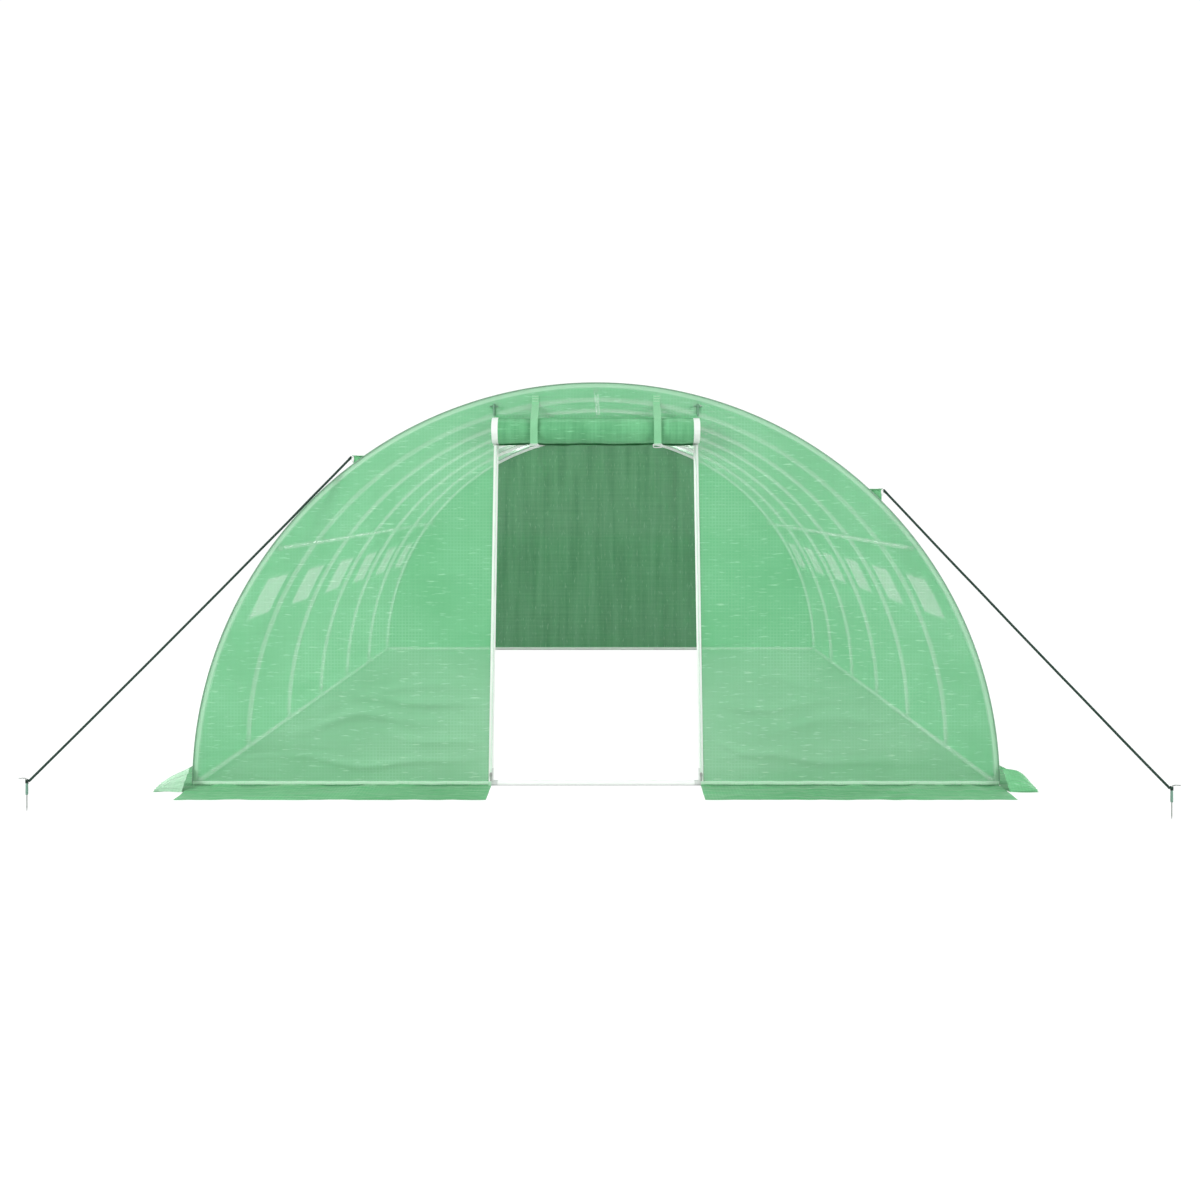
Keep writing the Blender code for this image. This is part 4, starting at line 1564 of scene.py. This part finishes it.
    def make_bindings(self) -> None:
        """A narrow tape sewn over the seam of roof and wall, at each end."""
        angles = np.linspace(0.3, 179.7, 181)
        for label, sign in (("front", -1), ("rear", 1)):
            y = sign * (abs(WALL_Y) + 0.0022)
            path = on_arc(COVER_RADIUS + 0.0005, angles, y)
            tape = sweep(path, squircle(0.0060, 0.0046, 2.6, 12), Y_AXIS)
            add_piece(f"arch_binding_{label}", [tape], [self.finishes.binding])

    def make_hems(self) -> None:
        """The welts where the walls' film turns round the end rails, drawn pale as a painted
        highlight along the rail.
        """
        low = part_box("front_skirt_left")
        inner, outer = -low[1].x, -low[0].x
        y = WALL_Y - 0.0035
        spans = {
            "front_left": (-outer, -inner - 0.004, y, 0.016),
            "front_right": (inner + 0.004, outer, y, 0.016),
            "rear": (-outer, outer, -y, 0.016),
        }
        for label, (start, end, at, height) in spans.items():
            path = line((start, at, height), (end, at, height), 60)
            wave = 0.0006 * np.sin(np.linspace(0, 37, 60)) + 0.0005 * np.sin(
                np.linspace(0, 91, 60)
            )
            path[:, 2] += wave
            welt = sweep(path, squircle(0.0065, 0.017, 2.4, 14), Y_AXIS)
            add_piece(f"rail_welt_{label}", [welt], [self.finishes.hem_and_highlight_film])


@dataclass
class WindowSet:
    """The nets, their frames of doubled film, and the flaps rolled up above them."""

    finishes: Finishes
    windows: list[Window]
    border: float = 0.020

    def build(self) -> None:
        """Every window, front to rear on both sides."""
        for window in self.windows:
            self.make_net(window)
            self.make_flap(window)
        for side in Side:
            self.make_borders(side)
            self.make_flap_ties(side)

    def arc_grid(
        self, window: Window, lows: Array, ys: Array, radius: float | Array
    ) -> tuple[Array, Array]:
        """(points, UV) of a sheet on the arc over these angles above the ground."""
        grid_a, grid_y = np.meshgrid(lows, ys, indexing="ij")
        points = on_arc(radius, window.angle(grid_a), grid_y)
        uv = np.stack([grid_y, np.radians(grid_a) * COVER_RADIUS], axis=-1)
        return points, uv

    def make_net(self, window: Window) -> None:
        """The netting, slack by a few millimetres: sin * sin over the opening."""
        lows = np.linspace(window.low_angle, window.high_angle, 12)
        ys = np.linspace(window.low_y, window.high_y, 20)
        share_a = np.linspace(0, math.pi, 12)[:, None]
        share_y = np.linspace(0, math.pi, 20)[None]
        radius = COVER_RADIUS + 0.0010 - 0.004 * np.sin(share_a) * np.sin(share_y)
        points, uv = self.arc_grid(window, lows, ys, radius)
        node = f"window_screen_{window.side.label}_{window.number}"
        net = add_piece(
            f"{node}_net",
            [grid_patch(points, uv, flip=window.side is Side.RIGHT)],
            [self.finishes.net],
            replaces=(node,),
            sharp=180,
        )

    def make_borders(self, side: Side) -> None:
        """A flat band of doubled film round each opening, with its stitching ridge.

        A band's height over the roof film is 1.2 mm, less a stitched groove of 0.5 mm along
        its middle.
        """
        patches: list[Patch] = []
        for window in (w for w in self.windows if w.side is side):
            margin = math.degrees(self.border / COVER_RADIUS)
            low, high = window.low_angle, window.high_angle
            bands = (
                (low - margin, low, window.low_y - self.border, window.high_y + self.border),
                (high, high + margin, window.low_y - self.border, window.high_y + self.border),
                (low, high, window.low_y - self.border, window.low_y),
                (low, high, window.high_y, window.high_y + self.border),
            )
            for k, (a0, a1, y0, y1) in enumerate(bands):
                upright = k > 1
                counts = (14, 6) if upright else (6, 26)
                lows, ys = np.linspace(a0, a1, counts[0]), np.linspace(y0, y1, counts[1])
                grid_a, grid_y = np.meshgrid(lows, ys, indexing="ij")
                share = (grid_y - y0) / (y1 - y0) if upright else (grid_a - a0) / (a1 - a0)
                height = 0.0026 * np.sin(np.pi * share) ** 0.3 - 0.0008 * bump(share, 0.5, 0.12)
                points, uv = self.arc_grid(window, lows, ys, COVER_RADIUS + 0.0014 + height)
                patches.append(grid_patch(points, uv, flip=side is Side.RIGHT))
        add_piece(
            f"window_borders_{side.label}", patches, [self.finishes.hem_and_highlight_film], sharp=180
        )

    def flap_middle(self, window: Window) -> tuple[float, float, float, float]:
        """(middle angle, half width in metres, middle radius, half thickness) of a flap."""
        low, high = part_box(f"window_flap_{window.side.label}_{window.number}")
        inner = COVER_RADIUS + 0.0045
        angle_high = math.degrees(math.asin(high.z / (inner + 0.020)))
        angle_low = math.degrees(math.asin(low.z / (inner + 0.006)))
        half = math.radians(angle_high - angle_low) / 2 * inner
        return (angle_low + angle_high) / 2, half, inner + 0.0115, 0.0108

    def make_flap(self, window: Window) -> None:
        """The rolled flap and the film that it unrolls from.

        The roll's section is a flattened spiral: |a / A|^2.5 + |b / B|^2.5 = 1 drawn in by
        the turns, and its surface carries wrinkles across the roll.
        """
        middle, half, radius, thick = self.flap_middle(window)
        node = f"window_flap_{window.side.label}_{window.number}"
        low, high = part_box(node)
        turns, per_turn = 3, 26
        t = np.linspace(0, turns * 2 * math.pi, turns * per_turn + 1)
        shrink = 1 - 0.26 * t / (2 * math.pi)
        power = 2 / 2.6
        a = half * shrink**0.4 * signed_power(np.cos(t), power)
        b = thick * shrink * signed_power(np.sin(t), power)
        ys = np.linspace(low.y + 0.002, high.y - 0.002, 34)
        grid_y = ys[None] + 0.0 * t[:, None]
        soft = ripples(grid_y, t[:, None] * 0.05, 40 + window.number, 5, (0.06, 0.2), 0.0)
        swell = 1 + 0.05 * soft * np.sin(t)[:, None] ** 2
        angle = middle + np.degrees(a / radius)[:, None] + 0.0 * grid_y
        reach = radius + b[:, None] * np.clip(swell, 0.9, 1.04)
        points = on_arc(reach, window.angle(angle), grid_y)
        run = run_along(np.stack([a, b], axis=-1))
        uv = np.stack(np.broadcast_arrays(grid_y, run[:, None]), axis=-1)
        roll = add_piece(
            f"{node}_roll",
            [grid_patch(points, uv, flip=window.side is Side.LEFT)],
            [self.finishes.rolled_film],
            body=node,
            replaces=(node,),
            sharp=180,
        )
        self.make_curtain(window, middle, half, node)

    def make_curtain(self, window: Window, middle: float, half: float, node: str) -> None:
        """The flap's film between its seam and its roll."""
        low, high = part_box(node)
        top = middle + math.degrees((half + 0.016) / COVER_RADIUS)
        lows = np.linspace(middle, top, 24)
        ys = np.linspace(low.y + 0.004, high.y - 0.004, 26)
        points, uv = self.arc_grid(window, lows, ys, COVER_RADIUS + 0.0046)
        name = f"{node}_film"
        film = add_piece(
            name,
            [grid_patch(points, uv, flip=window.side is Side.RIGHT)],
            [self.finishes.film],
            body=None,
            sharp=180,
        )
        start = on_arc(COVER_RADIUS, window.angle(top), 0.0)
        end = on_arc(COVER_RADIUS, window.angle(middle), 0.0)
        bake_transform(film)

    def make_flap_ties(self, side: Side) -> None:
        """Two tapes over each flap's roll, sewn above it and hanging free below.

        A tape's path runs on the arc over the roll's outer side, radius + bulge * cos^0.4.
        """
        patches: list[Patch] = []
        for window in (w for w in self.windows if w.side is side):
            middle, half, radius, thick = self.flap_middle(window)
            share = np.linspace(-1.0, 1.28, 26)
            angle = middle + np.degrees(half / radius) * share
            lift = np.where(
                share < 0, thick, thick * np.clip(1 - share**4 * 0.62, 0.0, 1.0)
            )
            reach = np.maximum(radius + lift + 0.0024, COVER_RADIUS + 0.0064)
            for off in (-0.13, 0.13):
                y = (window.low_y + window.high_y) / 2 + off
                path = on_arc(reach, window.angle(angle), y)
                patches.append(sweep(path, squircle(0.018, 0.0014, 8.0, 12), Y_AXIS))
                toggle = on_arc(reach[2] + 0.003, window.angle(angle[2]), y)
                patches.append(
                    turned_piece(
                        [(-0.012, 0.002), (-0.010, 0.0034), (0.010, 0.0034), (0.012, 0.002)],
                        toggle,
                        Y_AXIS,
                        12,
                        finish=1,
                    )
                )
        add_piece(
            f"flap_ties_{side.label}",
            patches,
            [self.finishes.webbing, self.finishes.zip_coil],
        )


@dataclass
class RollDoor:
    """The rolled door, its zips, its curtain and the two straps that hold it."""

    finishes: Finishes
    turns: float = 7.0
    core: float = 0.012
    tape: float = 0.031  # width of the door's own zip tape at each end of the roll

    def build(self) -> None:
        """Roll, curtain, zips and straps."""
        self.low, self.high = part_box("door_roll")
        self.centre = (np.array(self.low) + np.array(self.high)) / 2
        self.radius = (self.high.z - self.low.z) / 2 - 0.0006
        self.make_roll()
        self.make_curtain()
        self.make_zips()
        for side in Side:
            self.make_strap(side)

    def make_roll(self) -> None:
        """The door's film in a spiral, radius = core + (R - core) t / turns.

        Soft dents across the roll and creases along it are added to the radius, more on the
        outer turns, and the roll's ends wander by a few millimetres from turn to turn.
        """
        t = np.linspace(0, 1, int(self.turns * 40) + 1)
        turn = 2 * math.pi * self.turns * t
        half = (self.high.x - self.low.x) / 2
        tape = half - self.tape
        xs = steps_between([-half, -tape, tape, half], 0.018)
        grid_t, grid_x = np.meshgrid(t, xs, indexing="ij")
        grid_turn = 2 * math.pi * self.turns * grid_t
        run = math.pi * self.turns * (self.radius + self.core) * grid_t**1.5
        dents = ripples(grid_x, run * 0.35, 51, 8, (0.05, 0.3), 0.0)
        creases = ripples(grid_x * 0.12, np.sin(grid_turn), 52, 6, (0.18, 0.5), 90.0)
        pulled = bump(np.abs(grid_x), 0.30, 0.03) * 0.0022  # under the straps
        inside = self.core + (self.radius - 0.0032 - self.core) * grid_t
        reach = inside + grid_t * (0.0013 * dents + 0.0012 * creases) - grid_t * pulled
        reach = np.minimum(reach, self.radius)
        stagger = 0.0035 * np.sin(grid_turn * 0.37 + 1.0) * (np.abs(grid_x) > tape + 0.002)
        x = np.clip(grid_x - np.sign(grid_x) * np.abs(stagger), -half, half)
        start = math.pi / 2 - 2 * math.pi * self.turns % (2 * math.pi)
        y = self.centre[1] + reach * np.sin(grid_turn + start + math.pi / 2)
        z = self.centre[2] + reach * np.cos(grid_turn + start + math.pi / 2)
        points = np.stack([x, y, z], axis=-1)
        uv = np.stack([grid_x, run], axis=-1)
        tapes = (np.abs(xs[:-1] + xs[1:]) / 2 > tape)[None] & np.ones((len(t) - 1, 1), bool)
        roll = add_piece(
            "door_roll_film",
            [
                grid_patch(points, uv, keep=~tapes, flip=True),
                grid_patch(points, uv, keep=tapes, flip=True, finish=1),
            ],
            [self.finishes.rolled_film, self.finishes.zip_tape],
            body="door_roll",
            replaces=("door_roll",),
            sharp=180,
        )
        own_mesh(roll)

    def make_curtain(self) -> None:
        """The door's film from its seam above the doorway down to the back of the roll."""
        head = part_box("zip_tape_left")[1].z
        top = head + 0.022
        half = (self.high.x - self.low.x) / 2
        xs = np.linspace(-half + 0.003, half - 0.003, 44)
        zs = np.linspace(self.centre[2], top, 60)
        grid_z, grid_x = np.meshgrid(zs, xs, indexing="ij")
        at_seam = WALL_Y - 0.0022
        at_roll = self.high.y + 0.0002
        share = ease(grid_z, self.centre[2] + 0.01, top - 0.01)
        y = at_roll + (at_seam - at_roll) * share
        points = np.stack([grid_x, y, grid_z], axis=-1)
        film = add_piece(
            "door_curtain",
            [grid_patch(points, np.stack([grid_x, grid_z], axis=-1))],
            [self.finishes.door_film],
            body=None,
            sharp=180,
        )
        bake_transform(film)

    def make_zips(self) -> None:
        """A coil zip along each edge of the doorway: tape, coil and a slider at its top.

        The coil's links are a row of rings: radius R (1 + 0.35 cos(2 pi s / pitch)).
        """
        for side in Side:
            node = f"zip_tape_{side.label}"
            low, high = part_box(node)
            y = (low.y + high.y) / 2
            width = 0.014
            inner_foot = min(abs(low.x), abs(high.x)) + 0.0
            outer_foot = max(abs(low.x), abs(high.x))
            foot = np.array([side.value * (outer_foot - width / 2), y, low.z])
            head = np.array([side.value * (inner_foot + width / 2), y, high.z])
            tape = sweep(line(foot, head, 60), squircle(width, 0.0015, 8.0, 12), X_AXIS)
            pitch = 0.006
            count = int(np.linalg.norm(head - foot) / pitch * 4)
            path = line(foot, head, count) - np.array([side.value * 0.0052, 0.0012, 0.0])
            links = 0.0021 * (1 + 0.3 * np.cos(np.arange(count) * math.pi / 2))
            coil = sweep(path, circle(links, 8), X_AXIS, finish=1)
            slider = sweep(
                line((0, 0, 0.0), (0, 0, 0.020), 5),
                squircle(0.013, 0.0050, 4.0, 16) * np.array([0.75, 1, 1, 1, 0.6])[:, None, None],
                X_AXIS,
                finish=2,
            ).moved(foot + (-side.value * 0.0052, -0.0030, 0.045))
            pull = sweep(
                line((0, 0, 0.0), (0, -0.003, -0.034), 6),
                squircle(0.007, 0.0016, 4.0, 12),
                X_AXIS,
                finish=2,
            ).moved(foot + (-side.value * 0.0052, -0.0066, 0.058))
            add_piece(
                f"{node}_zip",
                [tape, coil, slider, pull],
                [self.finishes.zip_tape, self.finishes.zip_coil, self.finishes.zinc],
                replaces=(node,),
            )

    def make_strap(self, side: Side) -> None:
        """A webbing strap over the roll's front, ending in a moulded loop.

        Its middle line runs down the wall, leaves it in a straight line, follows the roll at
        a fixed distance, and hangs; the corners are rounded by averaging neighbours.
        """
        node = f"door_tie_{side.label}"
        low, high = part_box(node)
        x = (low.x + high.x) / 2
        around = self.radius + 0.0022
        leave = self.centre[2] + 0.1384
        angles = np.radians(np.linspace(62, 0, 22))
        wall_y = WALL_Y - 0.0030
        over = np.stack(
            [
                self.centre[1] - around * np.cos(angles),
                self.centre[2] + around * np.sin(angles),
            ],
            axis=-1,
        )
        down = line((wall_y, high.z), (wall_y, leave), 8)
        slope = line((wall_y, leave), over[0], 12)[1:-1]
        hang = line(over[-1], (over[-1][0], low.z + 0.004), 14)[1:]
        flat = np.concatenate([down, slope, over, hang])
        for _ in range(3):
            flat[1:-1] = (flat[:-2] + 2 * flat[1:-1] + flat[2:]) / 4
        path = np.stack([np.full(len(flat), x), flat[:, 0], flat[:, 1]], axis=-1)
        strap = sweep(path, squircle(0.036, 0.0019, 8.0, 20), X_AXIS)
        end = path[-1]
        turn = np.linspace(0, 2 * math.pi, 37)
        frame_a = signed_power(np.cos(turn), 0.45) * 0.0215
        frame_b = signed_power(np.sin(turn), 0.45) * 0.0085
        ring = end + frame_a[:, None] * X_AXIS + (frame_b[:, None] - 0.003) * Z_AXIS
        loop = sweep(ring, circle(0.0021, 10), Y_AXIS, capped=False, finish=1)
        bar = tube(end + X_AXIS * 0.0205, end - X_AXIS * 0.0205, 0.0020, Z_AXIS, finish=1)
        box_stitch = [
            sweep(
                line((x - 0.014, high_y, z), (x + 0.014, high_y, z), 3),
                circle(0.0006, 6),
                Z_AXIS,
                finish=2,
            )
            for z in (high.z - 0.006, high.z - 0.018, high.z - 0.030)
            for high_y in (wall_y - 0.0011,)
        ]
        piece = add_piece(
            f"{node}_strap",
            [strap, loop, bar, *box_stitch],
            [self.finishes.webbing, self.finishes.fitting, self.finishes.zip_tape],
            replaces=(node,),
        )
        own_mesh(piece)


@dataclass
class Skirts:
    """Film on the ground outside the walls, weighted with soil when the tunnel is set up."""

    finishes: Finishes
    lift: float = 0.010

    def build(self) -> None:
        """Front, rear and side skirts."""
        for node, seed in (
            ("front_skirt_left", 61),
            ("front_skirt_right", 62),
            ("rear_skirt", 63),
            ("side_skirt_left", 64),
            ("side_skirt_right", 65),
        ):
            self.make_skirt(node, seed)
        self.make_corners()

    def make_skirt(self, node: str, seed: int) -> None:
        """One skirt: flat at its outer hem, with folds that run out from the wall.

        z = lift * share^2 of ripples along the wall, and the hem wanders by a few millimetres.
        """
        low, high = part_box(node)
        size = (high.x - low.x, high.y - low.y)
        along_y = size[1] > size[0]
        counts = [max(8, int(s / 0.022)) for s in size]
        xs = np.linspace(low.x, high.x, counts[0])
        ys = np.linspace(low.y, high.y, counts[1])
        grid_x, grid_y = np.meshgrid(xs, ys, indexing="ij")
        if along_y:
            out = (grid_x - (low.x if low.x > 0 else high.x)) / size[0]
            run = grid_y
        else:
            out = (grid_y - (low.y if low.y > 0 else high.y)) / size[1]
            run = grid_x
        out = np.abs(out)
        folds = ripples(run, out * 0.25, seed, 8, (0.07, 0.34), 0.0)
        crossing = ripples(run, out * size[0 if along_y else 1], seed + 10, 5, (0.1, 0.5), 60.0)
        rise = np.clip(0.45 * folds + 0.35 * crossing + 0.25, 0, 2)
        z = 0.0012 + self.lift * rise * (1 - 0.75 * out)
        hem = 0.004 * ripples(run, out * 0.0, seed + 20, 4, (0.3, 0.9), 0.0) * out**4
        if along_y:
            grid_x = grid_x - np.sign(low.x) * np.abs(hem)
        else:
            grid_y = grid_y - np.sign(low.y) * np.abs(hem)
        points = np.stack([grid_x, grid_y, z], axis=-1)
        uv = np.stack([grid_x, grid_y], axis=-1)
        skirt = add_piece(
            f"{node}_film",
            [grid_patch(points, uv)],
            [self.finishes.ground_film],
            replaces=(node,),
            sharp=180,
        )

    def make_corners(self) -> None:
        """The gathered film at the corners, folded up against the hoops' feet.

        A fan of pleats: height = top (1 - out)^1.2 + rim sin(pi out), falling evenly towards
        the end of the skirt, with ridges |sin(3.5 pi turn)| that lean outwards.
        """
        for side in Side:
            left = side is Side.LEFT
            # painted light: the left corners in the pale copy, the right ones in the ground film
            cloth = self.finishes.lit_pleated_film if left else self.finishes.ground_film
            for label, sign in (("front", -1), ("rear", 1)):
                out = np.linspace(0, 1, 20)[:, None]
                turn = np.linspace(0, 1, 44)[None]
                base_x = side.value * (2.006 + 0.145 * out)
                pleats = 0.016 * np.abs(np.sin(turn * math.pi * 3.5 + 0.9 * out))
                y = sign * (3.02 + (0.148 - 0.03 * out) * turn) + 0.0 * out
                rim = 0.010 if left else 0.030
                top = 0.085 * (1 - out) ** 1.2 + rim * np.sin(math.pi * out**1.4)
                z = top * (1 - turn**1.25) + pleats * (1 - turn) ** 0.5 + 0.0035
                points = np.stack(np.broadcast_arrays(base_x, y, z), axis=-1)
                uv = np.stack(np.broadcast_arrays(base_x, y), axis=-1)
                flip = side.value * sign < 0
                piece = add_piece(
                    f"corner_fold_{label}_{side.label}",
                    [grid_patch(points, uv, flip=flip)],
                    [cloth],
                    sharp=180,
                )


def main() -> None:
    """Builds the room, then the greenhouse from the ropes inwards."""
    logging.basicConfig(level=logging.INFO, format="%(message)s")
    Studio().build()
    finishes = Finishes()
    for side, route in ((Side.LEFT, LEFT_ROPE), (Side.RIGHT, RIGHT_ROPE)):
        GuyRope(side, route, finishes).build()
    TubeFrame(finishes).build()
    windows = [Window.read(side, i + 1) for i in range(BAYS) for side in Side]
    FilmShell(finishes, windows).build()
    WindowSet(finishes, windows).build()
    RollDoor(finishes).build()
    Skirts(finishes).build()
    boxes = {"cad": CAD_BOX, "made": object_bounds()}
    plain = {k: [[round(float(c), 5) for c in corner] for corner in v] for k, v in boxes.items()}


if __name__ == "__main__":
    main()
